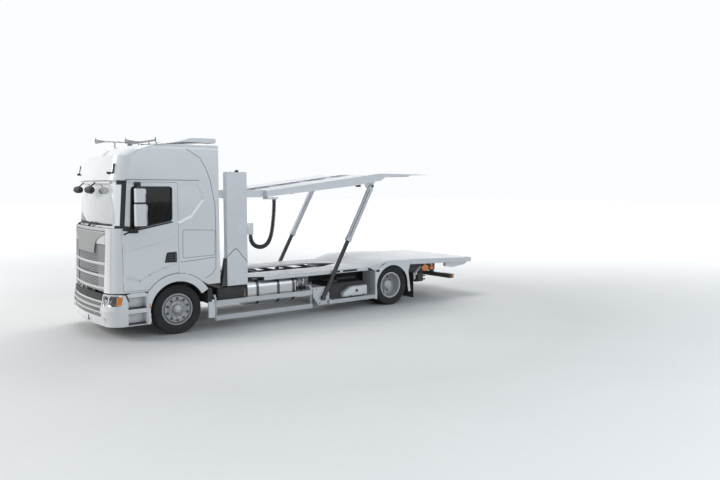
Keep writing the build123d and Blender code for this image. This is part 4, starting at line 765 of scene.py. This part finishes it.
bumperGrille = {
    "half": 0.875,
    "backing": [(0.441, 0.868, 0.024, 0.01)],
    "mesh": (0.455, 0.85),
    "pitch": 0.026,
    "slats": [(low, low + 0.032, 0.001, 0.026) for low in (0.8, 0.7, 0.6, 0.505)],
}
half = bumperGrille["half"]
bowedPiece("bumperGrilleBacking", "chassis", "black_plastic", bumperFace, bumperGrille["backing"], half=half)
mesh = bmesh.new()
row, top = bumperGrille["mesh"]
while row < top:
    addBowedBar(mesh, bumperFace, row, row + 0.008, 0.012, 0.012, half=half - 0.003, steps=12)
    row += bumperGrille["pitch"]
keep("bumperGrilleMesh", mesh, "chassis", "grille_grey", merge=False)
slats = bowedPiece("bumperSlats", "chassis", "silver_paint", bumperFace, bumperGrille["slats"], half=half, soften=0.004)
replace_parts(slats, "bumper_grille")

# Bare plate and its holder
plateX = noseX(0.36, 0.0, bumperFace) - frontAxleX
single("plateHolder", "black_plastic", boxes=[
    (plateX - 0.002, plateX + 0.04, -0.27, 0.27, 0.3, 0.425, 0.004),
], merge=True)
single("blankPlate", "roof_white", boxes=[
    (plateX - 0.007, plateX, -0.26, 0.26, 0.307, 0.418, 0.002),
], merge=True)

# Screen: black band, the visor's underside, the cowl above the grille, wipers
bowedPiece("screenBand", "cab", "black_plastic", screenFace, [(2.1, 2.135, 0.01, 0.006)], half=1.0)
bowedPiece("visorUnder", "cab", "roof_white", screenFace, [(2.872, 2.925, -0.03, 0.05)], half=0.95)
mesh = bmesh.new()
addBowedBar(mesh, cowlFace, 2.012, 2.058, -0.004, 0.03, half=0.95, soften=0.006)
addBowedBar(mesh, cowlFace, 2.06, 2.068, -0.002, 0.085, half=0.95)
keep("cowl", mesh, "cab", "grille_grey")
mesh = bmesh.new()
addBowedBar(mesh, cowlFace, 1.995, 2.01, -0.002, 0.03, half=0.95)
for low in [-0.8 + 0.42 * index for index in range(4)]:
    for row in range(3):
        x = noseX(2.06, low + 0.15, cowlFace, 0.018 + 0.018 * row)
        addBox(mesh, (x, low, 2.068), (x + 0.008, low + 0.3, 2.07))
keep("cowlGaps", mesh, "cab", "black_plastic", merge=False)
wiper = {"feet": (-0.1, 0.78), "reach": 0.8, "low": 2.112, "high": 2.15, "steps": 8}
for index, foot in enumerate(wiper["feet"]):
    mesh = bmesh.new()
    footX = noseX(2.07, foot, screenFace, -0.05)
    addRod(mesh, (footX, foot, 2.066), (footX, foot, 2.096), 0.024, 14)
    spots = []
    for share in spread(0.0, 1.0, wiper["steps"]):
        y = foot - wiper["reach"] * share
        height = wiper["high"] + (wiper["low"] - wiper["high"]) * share
        spots.append(Vector((noseX(2.12, y, screenFace, -0.016), y, height)))
    for start, end in runs(spots):
        addRod(mesh, start, end, 0.01, 8)
    addRod(mesh, (footX, foot, 2.096), spots[4] + Vector((-0.016, 0, 0.004)), 0.012, 10, 0.007)
    keep(f"wiper.{index}", mesh, "cab", "black_plastic", merge=False)

# Two small mirrors that hang below the visor
smallMirror = {
    "middles": (-0.28, 0.6),
    "profile": (
        (-0.2, 0.0), (-0.185, 0.045), (-0.12, 0.066), (0.0, 0.07), (0.12, 0.062), (0.185, 0.04), (0.2, 0.0),
    ),
}
mesh = bmesh.new()
for y in smallMirror["middles"]:
    x = noseX(2.75, y, screenFace, -0.125)
    addSpin(mesh, smallMirror["profile"], (x, y, 2.755), (0, 1, 0), 20)
    addRod(mesh, (x, y, 2.8), (noseX(2.9, y, screenFace, -0.015), y, 2.9), 0.012, 10)
keep("screenMirrors", mesh, "cab", "black_plastic", merge=False)
print("cab front ready")


def roundedPath(corners, radius, steps=5):
    # Corners of station and height joined with rounded bends into a closed path
    path = []
    for index, corner in enumerate(corners):
        here, before, after = Vector(corner), Vector(corners[index - 1]), Vector(corners[(index + 1) % len(corners)])
        start, end = here + (before - here).normalized() * radius, here + (after - here).normalized() * radius
        for share in spread(0.0, 1.0, steps):
            path.append(tuple((1 - share) ** 2 * start + 2 * share * (1 - share) * here + share**2 * end))
    return [*path, path[0]]


windowCorners = ((-0.88, 2.035), (-0.1, 2.185), (-0.092, 2.81), (-0.845, 2.81))
lockerCorners = ((0.1, 1.46), (0.757, 1.48), (0.766, 1.97), (0.111, 1.995))
deflectorSeam = (
    (0.2, 3.53), (0.302, 3.471), (0.482, 3.363), (0.6, 3.16), (0.679, 2.945),
    (0.775, 2.459), (0.783, 1.773), (0.772, 1.22), (0.7, 1.12), (0.559, 1.04),
)
pair("windowSeal", "black_rubber", "door_", strips=[
    (roundedPath(windowCorners, 0.06), 0.02, 0.003, 0.012),
    (((-0.985, 2.06), (-0.885, 2.045)), 0.09, 0.0022),
])
pair("windowSill", "black_plastic", "door_", strips=[
    (((-0.99, 1.955), (-0.88, 2.005), (-0.1, 2.155)), 0.03, 0.004),
])
handleCup = roundedPath(((-0.215, 1.585), (-0.02, 1.59), (-0.016, 1.392), (-0.262, 1.392)), 0.02, 3)[:-1]
pair("handleCup", "black_plastic", "door_", prisms=[([(s, bodySide + 0.003, z) for s, z in handleCup], -0.008)])
pair("doorHandle", "cab_trim", "door_", boxes=[
    *[(-0.175, -0.085, 1.253, 1.257, low, low + 0.012, 0.002) for low in (1.445, 1.487, 1.529)],
    (-0.065, -0.03, 1.253, 1.276, 1.41, 1.575, 0.008, 3),
], rods=[((-0.215, 1.252, 1.425), (-0.215, 1.259, 1.425), 0.011, 16)])
pair("sideSeams", "black_rubber", "cab", strips=[
    (roundedPath(lockerCorners, 0.04), 0.007, 0.0006),
    (((0.039, 1.389), (0.4, 1.405), (0.76, 1.439)), 0.008, 0.0006),
    (deflectorSeam, 0.009, 0.0006),
])

# The cab side's recess is a line of ramps that rise to its edge
recess = {
    "line": ((0.03, 2.115), (0.297, 2.237), (0.548, 2.559), (0.529, 2.655), (0.425, 2.885), (0.03, 2.855)),
    "width": 0.055,
    "proud": 0.01,
}
for mesh, side in eachSide("sidePanel", "cab", "white_paint", merge=False, limit=0.1):
    for (s0, z0), (s1, z1) in runs(recess["line"]):
        run = Vector((s1 - s0, 0, z1 - z0))
        inward = Vector((-run.z, 0, run.x)).normalized() * recess["width"]
        ridge = Vector(onSide((s0, bodySide + recess["proud"], z0), side))
        foot = Vector(onSide((s0, bodySide - 0.003, z0), side))
        addPrism(mesh, [foot, ridge, foot + inward], run * 1.02)
    bmesh.ops.recalc_face_normals(mesh, faces=mesh.faces)
# Darker strips along the door's two creases: painted shade for the soft shadow under each crease
pair("doorCreaseShade", "guard_paint", "door_", strips=[
    (((-1.006, 1.641), (-0.53, 1.724), (0.01, 1.885)), 0.022, 0.004),
    (((-0.98, 1.174), (-0.732, 1.09), (-0.543, 1.19), (-0.26, 1.3), (0.0, 1.373)), 0.026, 0.005),
])
pair("dripRail", "white_paint", "cab", strips=[
    (((-0.94, 2.955), (0.44, 2.95), (0.5, 2.9)), 0.012, 0.006),
    (((-0.8, 3.345), (-0.3, 3.385), (0.32, 3.4)), 0.014, 0.002),
])
pair("dripGroove", "cab_trim", "cab", strips=[(((-0.94, 2.94), (0.44, 2.936)), 0.011, 0.001)])
pair("bumperHinge", "black_rubber", strips=[
    (((-1.036, 0.864), (-0.992, 0.862), (-0.965, 0.79), (-0.942, 0.728)), 0.028, 0.001),
])
pair("bumperLip", "white_paint", boxes=[(-0.925, -0.64, 1.23, 1.2495, 0.858, 0.877, 0.004)])


def addCornerSkin(mesh, side, levels, turns, proud, steps=10):
    # A skin round the nose's corner between two angles, at each height and station of the nose
    reach = nose["corner"] + proud
    turned = [math.radians(turn) for turn in spread(*turns, steps)]
    rows = []
    for height, station in levels:
        x = at(station) + nose["bow"] + nose["corner"]
        rows.append([(x - reach * math.cos(a), side * (nose["flat"] + reach * math.sin(a)), height) for a in turned])
    bridgeRows(mesh, rows)
    bmesh.ops.recalc_face_normals(mesh, faces=mesh.faces)


# Corner skins: body, slot, own finish, then heights and stations, angles in degrees and stand-off of each
cornerSkins = {
    "pillarSkin": ("cab", "black_plastic", None, [
        (((2.062, -1.235), (2.48, -1.206), (2.925, -1.175)), (49.5, 66), 0.003),
    ]),
    "cornerGlass": ("cab", "tinted_glass", "mirror_skin", [
        (((2.11, -1.2318), (2.48, -1.206), (2.85, -1.18)), (29.5, 49.5), 0.002),
    ]),
    "cornerBand": ("cab", "black_plastic", None, [
        (((2.062, -1.235), (2.11, -1.2318)), (29.5, 49.5), 0.0025),
        (((2.85, -1.18), (2.925, -1.175)), (29.5, 49.5), 0.0025),
    ]),
    "grilleEdge": ("cab", "silver_paint", None, [
        (((0.89, -1.3598), (1.45, -1.3407), (2.056, -1.3202)), (33, 36), 0.004),
    ]),
    "turnLamp": ("chassis", "amber_lamp", None, [(((0.672, -1.398), (0.825, -1.369)), (61, 79), 0.004)]),
}
for label, (body, slotName, look, skins) in cornerSkins.items():
    for mesh, side in eachSide(label, body, slotName, look):
        for skin in skins:
            addCornerSkin(mesh, side, *skin)
pair("roofBracket", "black_plastic", "cab", rods=[
    ((-1.115, 1.1, 3.065), (-1.09, 1.09, 3.235), 0.012, 10),
    ((-1.115, 1.1, 3.065), (-1.172, 0.985, 3.06), 0.014, 10),
], boxes=[(-1.188, -1.13, 0.955, 1.01, 3.04, 3.082, 0.01)])
print("cab sides ready")

lampBowl = {
    "places": ((1.0, 0.765, 0.075), (1.1, 0.745, 0.125)),  # distance from the middle, height, set back
    "profile": ((-0.04, 0.05), (-0.018, 0.042), (0.0, 0.012), (0.0, 0.0)),
}
for mesh, side in eachSide("lampBowl", "chassis", "bar_steel", merge=False):
    for y, z, back in lampBowl["places"]:
        x = noseX(z, nose["flat"], bumperFace, back)
        addSpin(mesh, lampBowl["profile"], (x, side * y, z), (1, 0, 0), 24)
        addRod(mesh, (x - 0.02, side * y, z), (x + 0.004, side * y, z), 0.02, 16)
fogX = noseX(0.44, 0.93, bumperFace) - frontAxleX
pair("fogLamp", "lamp_glass", boxes=[
    (fogX + 0.006, fogX + 0.05, 0.955, 1.045, 0.39, 0.45, 0.006),
], merge=True)
pair("arrowLamp", "amber_lamp", boxes=[(-0.565, -0.545, 1.249, 1.254, 0.565, 0.655, 0.003)], merge=True)
print("lamps ready")

pair("towerGroove", "black_rubber", strips=[
    (((1.024, 1.421), (1.165, 1.56), (1.204, 1.578), (1.245, 1.56), (1.471, 1.29)), 0.013, 0.0008),
])
pair("towerEdge", "tower_paint", strips=[
    *[(((1.028, z), (1.467, z)), 0.016, 0.002) for z in (0.86, 3.085)],
    *[(((s, 0.87), (s, 3.08)), 0.014, 0.002) for s in (1.036, 1.459)],
])
pair("towerCap", "black_rubber", spins=[
    (((0.0, 0.045), (0.022, 0.042), (0.045, 0.026), (0.056, 0.0)), (1.289, 1.17, 3.1), (0, 0, 1), 24),
], rods=[((1.15, 1.17, 3.1), (1.15, 1.17, 3.115), 0.018, 12)])
pair("towerLid", "tower_paint", boxes=[(1.035, 1.46, 1.115, 1.235, 3.1, 3.106, 0.003)], rods=[
    ((s, y, 3.106), (s, y, 3.114), 0.012, 6) for s in (1.07, 1.425) for y in (1.13, 1.22)
])
pair("towerGuide", "strap_steel", rods=[
    ((s, 1.099, z), (s, 1.088, z), 0.013, 6) for z in (1.1, 1.55, 2.0, 2.45, 2.9) for s in (1.13, 1.37)
], boxes=[(s, s + 0.02, 1.09, 1.101, 1.05, 3.03, 0.002) for s in (1.155, 1.325)])
single("valveBox", "tower_paint", boxes=[  # the hose hangs from it
    (1.48, 1.64, -1.194, -1.106, 1.842, 2.078, 0.008, 3),
    (1.5, 1.625, -1.2, -1.194, 1.87, 2.05, 0.003),
])
print("towers ready")

# Perforated deck plates: rows of punched holes with raised rims, each dish black as painted shade for the open hole
dimple = {"radius": 0.026, "top": 0.0225, "height": 0.003, "rim": 0.0025, "dish": -0.0015}


def addDimples(mesh, side, x, y, height, slope=0.0, pitch=(0.095, 0.085), sink=False):
    # One patch on a plate that may slope along X; a sunk patch is on its underside
    cone = bmesh.ops.create_cone(
        mesh, cap_ends=True, segments=8, radius1=dimple["radius"], radius2=dimple["top"], depth=dimple["height"]
    )
    ends = sorted({f for v in cone["verts"] for f in v.link_faces}, key=lambda f: f.calc_center_median().z)
    bmesh.ops.inset_individual(mesh, faces=[ends[-1]], thickness=dimple["rim"], depth=dimple["dish"])
    # The dish takes the second, black finish: painted shade for the open hole
    ends[-1].material_index = 1
    bmesh.ops.delete(mesh, geom=[ends[0]], context="FACES_ONLY")
    if sink:
        bmesh.ops.rotate(mesh, verts=mesh.verts, cent=(0, 0, 0), matrix=Matrix.Rotation(math.pi, 3, "X"))
    first = (at(x[0]), min(side * y[0], side * y[1]), height + (-0.001 if sink else 0.001))
    bmesh.ops.translate(mesh, verts=mesh.verts, vec=first)

    def addCopies(cell, shifts):
        made = []
        for shift in shifts:
            copy = bmesh.ops.duplicate(mesh, geom=cell)["geom"]
            bmesh.ops.translate(mesh, verts=[g for g in copy if isVert(g)], vec=shift)
            made += copy
        return made

    cell = [*mesh.verts, *mesh.edges, *mesh.faces]
    cell += addCopies(list(cell), [(0, step * pitch[1], 0) for step in range(1, int((y[1] - y[0]) / pitch[1]) + 1)])
    shifts = []
    for step in range(1, int((x[1] - x[0]) / pitch[0]) + 1):
        shifts.append((step * pitch[0], pitch[1] / 2 if step % 2 else 0.0, step * pitch[0] * slope))
    addCopies(cell, shifts)


def deckDimples(label, body, slotName, patches):
    for name, side in sides:
        mesh = bmesh.new()
        for patch in patches:
            patchMesh = bmesh.new()
            addDimples(patchMesh, side, **patch)
            data = bpy.data.meshes.new("patch")
            patchMesh.to_mesh(data)
            patchMesh.free()
            mesh.from_mesh(data)
            bpy.data.meshes.remove(data)
        piece = keep(f"{label}.{name}", mesh, body, slotName, merge=False, limit=0.9)
        # Black finish for the dishes: painted shade in the holes
        piece.data.materials.append(finishes["black_rubber"])


deckDimples("trackHoles", "chassis", "deck_paint", [
    {"x": (1.93, 3.86), "y": (0.455, 1.12), "height": 0.95},
    {"x": (1.63, 1.88), "y": (0.455, 0.96), "height": 0.95},
])
deckDimples("deckHoles", "chassis", "deck_paint", [
    {"x": (3.92, 4.62), "y": (0.455, 1.12), "height": 0.95},
    {"x": (4.68, 5.12), "y": (0.03, 1.12), "height": 0.9566, "slope": 0.22},
    {"x": (5.18, 5.88), "y": (0.03, 1.205), "height": 1.06},
    {"x": (5.94, 8.0), "y": (0.03, 1.205), "height": 1.0585, "slope": -0.0352},
])
upperRise = (3.128 - 2.739) / (4.93 - 1.957)
upperPatch = {"y": (0.36, 1.07), "pitch": (0.1, 0.09)}
deckDimples("upperHoles", "upper_deck", "deck_plate", [
    {**upperPatch, "x": (2.1, 4.88), "height": 2.733 + upperRise * (2.1 - 1.957), "slope": upperRise},
    {**upperPatch, "x": (4.97, 6.0), "height": 3.1222, "slope": -0.004},
    {**upperPatch, "x": (2.2, 4.88), "height": 2.725 + upperRise * (2.2 - 1.957), "slope": upperRise, "sink": True},
])
print("deck plates ready")

ram = {"foot": (3.352, 0.0, 0.362), "top": (4.706, 0.0, 2.838), "holes": (0.25, 0.45, 0.65, 0.85, 1.05, 1.25)}
ramFoot, ramTop = [Vector(onSide(ram[end], 1)) for end in ("foot", "top")]
ramLength = (ramTop - ramFoot).length
ramLine = (ramTop - ramFoot) / ramLength
ramAcross = Vector((ramLine.z, 0, -ramLine.x))


def onRam(reach, across, y):
    return ramFoot + ramLine * reach + ramAcross * across + Vector((0, y, 0))


# Bars on the sleeves: distances back from the top pin, across and out from the middle
ramBars = {
    "ramStripe": ("ram_post", (1.405, 0.1), (-0.04, -0.022), (1.243, 1.248)),
    "ramCollar": ("ram_sleeve", (1.42, 1.33), (-0.0635, 0.0635), (1.16, 1.2495)),
}
for label, (slotName, back, across, out) in ramBars.items():
    low, high = [ramLength - distance for distance in back]
    for mesh, side in eachSide(label, "ram_sleeve_", slotName, merge=False):
        corners = ((low, across[0]), (high, across[0]), (high, across[1]), (low, across[1]))
        addPrism(mesh, [onRam(*corner, side * out[0]) for corner in corners], (0, side * (out[1] - out[0]), 0))
for mesh, side in eachSide("ramHoles", "ram_post_", "strap_steel", merge=False):
    for reach in ram["holes"]:
        spot = onRam(reach, 0.0, side * 1.235)
        addRod(mesh, spot - Vector((0, side * 0.001, 0)), spot + Vector((0, side * 0.0003, 0)), 0.014, 14)
pair("ramTopPin", "strap_steel", "ram_sleeve_", rods=[
    ((4.706, 1.2465, 2.838), (4.706, 1.256, 2.838), 0.03, 24),
    ((4.706, 1.256, 2.838), (4.706, 1.262, 2.838), 0.012, 6),
])
pair("ramFootPin", "strap_steel", rods=[
    ((3.352, 1.2355, 0.362), (3.352, 1.2465, 0.362), 0.04, 24),
    ((3.352, 1.2465, 0.362), (3.352, 1.2505, 0.362), 0.014, 6),
])
print("rams ready")

# Dark rods along the roof's top edges: painted shade for the shadow gap between the cab side and the roof
single("roofRails", "black_plastic", "cab", rods=[row for name, side in sides for row in (
    ((-0.6, side * 1.085, 3.583), (0.22, side * 1.085, 3.632), 0.009, 8),
    *[
        ((s, side * 1.085, z - 0.01), (s, side * 1.085, z + 0.03), 0.007, 8)
        for s, z in ((-0.58, 3.566), (-0.18, 3.592), (0.18, 3.613))
    ],
)])
single("roofBarLenses", "lamp_glass", "cab", boxes=[
    (-0.218, -0.212, side * 0.778, side * 0.812, 3.674, 3.752, 0.002) for name, side in sides
])
hornMouth = ((0.0, 0.058), (-0.008, 0.061), (-0.008, 0.052), (0.06, 0.026), (0.062, 0.0))
single("hornMouths", "bar_steel", "cab", spins=[
    (hornMouth, (s, y, 3.72), (1, 0, 0), 28) for y, s in ((0.45, -0.95), (0.08, -0.48))
], merge=True)
single("roofUnitSlots", "black_plastic", "cab", boxes=[
    (1.012, 1.018, -0.62, 0.62, 3.694 + 0.015 * row, 3.701 + 0.015 * row, 0.001) for row in range(5)
])
print("roof ready")

pair("mirrorGlass", "tinted_glass", "door_", boxes=[
    (-0.655, -0.65, 1.405, 1.5, 2.135, 2.475, 0.004),
    (-0.675, -0.67, 1.405, 1.5, 2.555, 2.765, 0.004),
], look="mirror_skin")
pair("mirrorArms", "black_plastic", "door_", boxes=[
    (-0.845, -0.675, 1.388, 1.517, 2.498, 2.537, 0.006),
    (-0.8, -0.68, 1.253, 1.285, 2.815, 2.892, 0.01),
    (-0.905, -0.745, 1.253, 1.285, 1.972, 2.048, 0.012),
    (-0.835, -0.7, 1.4, 1.505, 2.772, 2.8, 0.01),
    (-0.845, -0.68, 1.4, 1.505, 2.09, 2.114, 0.008),
], rods=[
    ((-0.742, 1.255, 2.85), (-0.762, 1.45, 2.775), 0.021, 12),
    ((-0.822, 1.255, 2.01), (-0.762, 1.45, 2.115), 0.021, 12),
])
print("mirrors ready")

tankCap = ((0.0, 0.058), (0.03, 0.058), (0.042, 0.048), (0.044, 0.0))
capGrips = []
for turn in [math.radians(angle) for angle in range(0, 360, 60)]:
    s, y, z = 1.9 + 0.057 * math.cos(turn), 0.966 + 0.05 * math.sin(turn), 0.852 - 0.022 * math.sin(turn)
    capGrips.append(((s, y, z), (s, y + 0.01, z + 0.022), 0.006, 6))
pair("tankCap", "black_plastic", spins=[(tankCap, (1.9, 0.96, 0.842), (0, 0.45, 0.89), 28)], rods=capGrips)
pair("tankEnds", "tank_aluminium", spins=[
    (((0.0, 0.18), (proud, 0.176), (proud, 0.0)), (s, 0.835, 0.615), (1, 0, 0), 40)
    for s, proud in ((1.5285, -0.002), (2.6915, 0.002))
], boxes=[(s, s + 0.004, 1.1195, 1.1215, 0.48, 0.76) for s in (1.62, 1.98, 2.48)])
straps = (1.735, 2.23, 2.605)
pair("strapBolts", "strap_steel", boxes=[
    (s + 0.012, s + 0.044, 1.127, 1.142, 0.43, 0.47, 0.003) for s in straps
], rods=[
    ((s + 0.028, 1.136, low), (s + 0.028, 1.136, 0.52), radius, segments)
    for s in straps for low, radius, segments in ((0.4, 0.007, 10), (0.505, 0.013, 6))
])
pair("boxLid", "black_plastic", boxes=[
    (0.835, 1.385, 1.205, 1.217, 0.786, 0.806, 0.004),
    (0.85, 1.37, 1.21, 1.216, 0.57, 0.775, 0.006),
    *[(s, s + 0.008, 1.214, 1.219, 0.6, 0.75, 0.002) for s in (0.95, 1.11, 1.27)],
    *[(s, s + 0.04, 1.214, 1.226, 0.755, 0.8, 0.004) for s in (0.9, 1.3)],
])
filterPot = ((0.0, 0.0), (0.0, 0.105), (0.1, 0.11), (0.16, 0.1), (0.18, 0.06), (0.18, 0.0))
pair("filterPot", "dark_iron", spins=[(filterPot, (1.445, 0.9, 0.65), (0, 1, 0), 28)], rods=[
    ((1.445, 1.08, 0.65), (1.445, 1.115, 0.65), 0.028, 18),
    ((1.445, 0.9, 0.65), (1.445, 0.44, 0.65), 0.05, 16),
])
pair("filterTag", "amber_lamp", rods=[((1.47, 1.085, 0.61), (1.47, 1.1, 0.61), 0.022, 14)], boxes=[
    (1.405, 1.435, 1.085, 1.098, 0.56, 0.6, 0.004),
])
valves = [(2.76 + 0.075 * index, 0.92 + 0.03 * (index % 2), index) for index in range(4)]
pair("valveBank", "tank_aluminium", rods=[
    *[row for s, y, index in valves for row in (
        ((s, 0.44, 0.6), (s, y, 0.6 + 0.03 * index), 0.018, 12),
        ((s, y, 0.52), (s, y, 0.74 + 0.02 * index), 0.024, 14),
        ((s, y, 0.7), (s, y, 0.72), 0.034, 6),
    )],
    ((2.72, 0.985, 0.8), (3.05, 0.985, 0.64), 0.014, 10),
    ((2.73, 0.955, 0.64), (3.1, 0.955, 0.79), 0.011, 10),
], boxes=[(2.72, 3.03, 0.6, 0.9, 0.47, 0.56, 0.01)])
pair("valveHeads", "black_plastic", boxes=[
    (s, s + 0.055, 0.945, 1.01, 0.56, 0.64, 0.008) for s in (2.79, 2.88, 2.97)
])
# Guard rails: two stations, the rail's foot and its ribs' heights above it
guardRails = (
    (0.72, 3.045, 0.175, (0.018, 0.036, 0.054, 0.072)),
    (0.72, 3.045, 0.475, (0.018, 0.036, 0.054, 0.072)),
    (3.56, 4.79, 0.212, (0.018, 0.036, 0.054, 0.07)),
)
pair("guardRibs", "guard_paint", boxes=[
    (start, end, 1.2495, 1.2515, low + step, low + step + 0.006)
    for start, end, low, steps in guardRails
    for step in steps
])
pair("guardEnds", "dark_iron", boxes=[
    (s - 0.006, s + 0.004, 1.215, 1.252, 0.172, 0.57, 0.003) for s in (0.745, 3.045)
], rods=[
    ((s, 1.2495, z), (s, 1.2545, z), 0.009, 6)
    for s in (0.768, 3.022) for z in (0.201, 0.243, 0.501, 0.543)
])
footBolts = ((3.1, 0.56), (3.1, 0.5), (3.2, 0.56), (3.42, 0.55), (3.5, 0.42), (3.5, 0.25), (3.28, 0.24))
pair("footBolts", "strap_steel", rods=[((s, 1.1615, z), (s, 1.17, z), 0.014, 6) for s, z in footBolts])
toolLid = ((3.89, 0.35), (4.535, 0.35), (4.535, 0.537), (4.108, 0.537), (3.89, 0.412))
pair("toolLid", "white_paint", prisms=[([(s, 1.2405, z) for s, z in toolLid], 0.006, 0.004)])
pair("toolLock", "black_plastic", rods=[((4.25, 1.246, 0.447), (4.25, 1.2515, 0.447), 0.034, 24)], boxes=[
    (4.235, 4.265, 1.2515, 1.256, 0.42, 0.474, 0.004),
    *[(s, s + 0.06, 1.2455, 1.25, 0.342, 0.356, 0.002) for s in (4.05, 4.42)],
])
pair("airTanks", "black_plastic", boxes=[
    *[(s, s + 0.012, 1.1395, 1.145, 0.57, 0.635, 0.002) for s in (3.6, 3.8, 4.0, 4.2, 4.4)],
    (3.565, 4.495, 1.1395, 1.1445, 0.545, 0.556, 0.002),
    (3.59, 3.85, 0.7, 1.05, 0.64, 0.7, 0.012),
], rods=[((3.92, 0.86, 0.7), (4.46, 0.86, 0.7), 0.06, 24)])
print("tanks, boxes and guards ready")

seat = {
    "y": 0.57,
    "fill": 0.8,
    "pads": {  # stations, half width, heights and lean
        "cushion": (-0.415, 0.05, 0.235, 1.65, 1.77, 0.0),
        "back": (0.02, 0.15, 0.225, 1.78, 2.38, 0.09),
        "headrest": (0.09, 0.19, 0.14, 2.42, 2.63, 0.03),
    },
}
for name, side in sides:
    for label, (front, back, half, low, high, lean) in seat["pads"].items():
        mesh = bmesh.new()
        middle = side * seat["y"]
        addBox(mesh, (at(front), middle - half, low), (at(back), middle + half, high), 0.045, 4)
        for vert in mesh.verts:
            vert.co.x += lean * (vert.co.z - low) / (high - low)
        pad = keep(f"seat.{label}.{name}", mesh, "cab", "seat_fabric")
        if (label, name) == ("cushion", "left"):
            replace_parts(pad, "seats")
pair("seatBase", "cab_trim", "cab", boxes=[
    (-0.33, 0.09, 0.38, 0.76, 1.315, 1.65, 0.01),
    *[(-0.3, 0.02, y, y + 0.03, 1.6, 1.655, 0.008) for y in (0.295, 0.815)],
], rods=[((0.21, y, 2.3), (0.215, y, 2.46), 0.007, 10) for y in (0.51, 0.63)])
print("seats ready")

ovals = {  # profile, place, steps, stretch along the truck, finish, joined or not
    "markerLamp": (
        ((-0.012, 0.0), (-0.012, 0.07), (-0.004, 0.076), (0.0, 0.07), (0.003, 0.045), (0.004, 0.0)),
        (6.395, 1.246, 0.806), 28, 1.45, "amber_lamp", True,
    ),
    "archMarker": (
        ((0.0, 0.03), (0.006, 0.028), (0.008, 0.0)),
        (4.875, 1.2495, 0.85), 24, 2.0, "black_plastic", False,
    ),
}
for label, (profile, place, steps, stretch, slotName, merge) in ovals.items():
    for mesh, side in eachSide(label, "chassis", slotName, merge=merge):
        addSpin(mesh, profile, onSide(place, side), (0, side, 0), steps)
        for vert in mesh.verts:
            vert.co.x = at(place[0]) + (vert.co.x - at(place[0])) * stretch
pair("flapStrut", "guard_paint", rods=[((6.442, 1.0, 0.817), (6.173, 1.0, 0.547), 0.026, 14)], spins=[
    (((-0.03, 0.03), (-0.03, 0.062), (0.03, 0.062), (0.03, 0.03)), (6.207, 1.0, 0.569), (0, 1, 0), 24, True),
], boxes=[(6.13, 6.215, 0.97, 1.03, 0.505, 0.545, 0.006)])
pair("sideLens", "amber_lamp", boxes=[
    (s, s + 0.098, 1.2455, 1.2505, 0.766, 0.824, 0.006) for s in (6.346, 6.566)
])
pair("archSheet", "tank_aluminium", boxes=[
    (4.7985, 4.801, 0.765, 1.238, 0.215, 0.85),
], merge=True, look="galvanised")
pair("tailLens", "amber_lamp", boxes=[
    (7.538, 7.546, y, y + 0.092, 0.462, 0.553, 0.01, 3) for y in (0.79, 0.9, 1.01)
])
pair("webSlots", "black_plastic", rods=[
    ((7.468, y, 0.51), (7.472, y, 0.51), 0.012, 10) for y in (0.84, 0.95, 1.06)
], boxes=[(s, s + width, 1.1485, 1.1515, 0.885, 0.93, 0.004) for s, width in ((3.654, 0.194), (3.932, 0.4))])
single("beamBolts", "strap_steel", boxes=[
    (7.378, 7.382, y - 0.004, y + 0.004, 0.47, 0.545) for y in (-0.6, -0.2, 0.2, 0.6)
], rods=[((7.469, y, 0.508), (7.476, y, 0.508), 0.012, 6) for y in (-1.0, -0.7, 0.7, 1.0)])
single("rearPlate", "roof_white", boxes=[(7.472, 7.48, -0.26, 0.26, 0.452, 0.563, 0.003)], merge=True)
print("rear ready")

single("deckBuffers", "black_plastic", "upper_deck", boxes=[
    (*stations, side * 1.13, side * 1.2, *heights, 0.008)
    for name, side in sides
    for stations, heights in (((2.48, 2.6), (2.665, 2.705)), ((4.3, 4.41), (2.815, 2.86)))
])
print("upper deck ready")
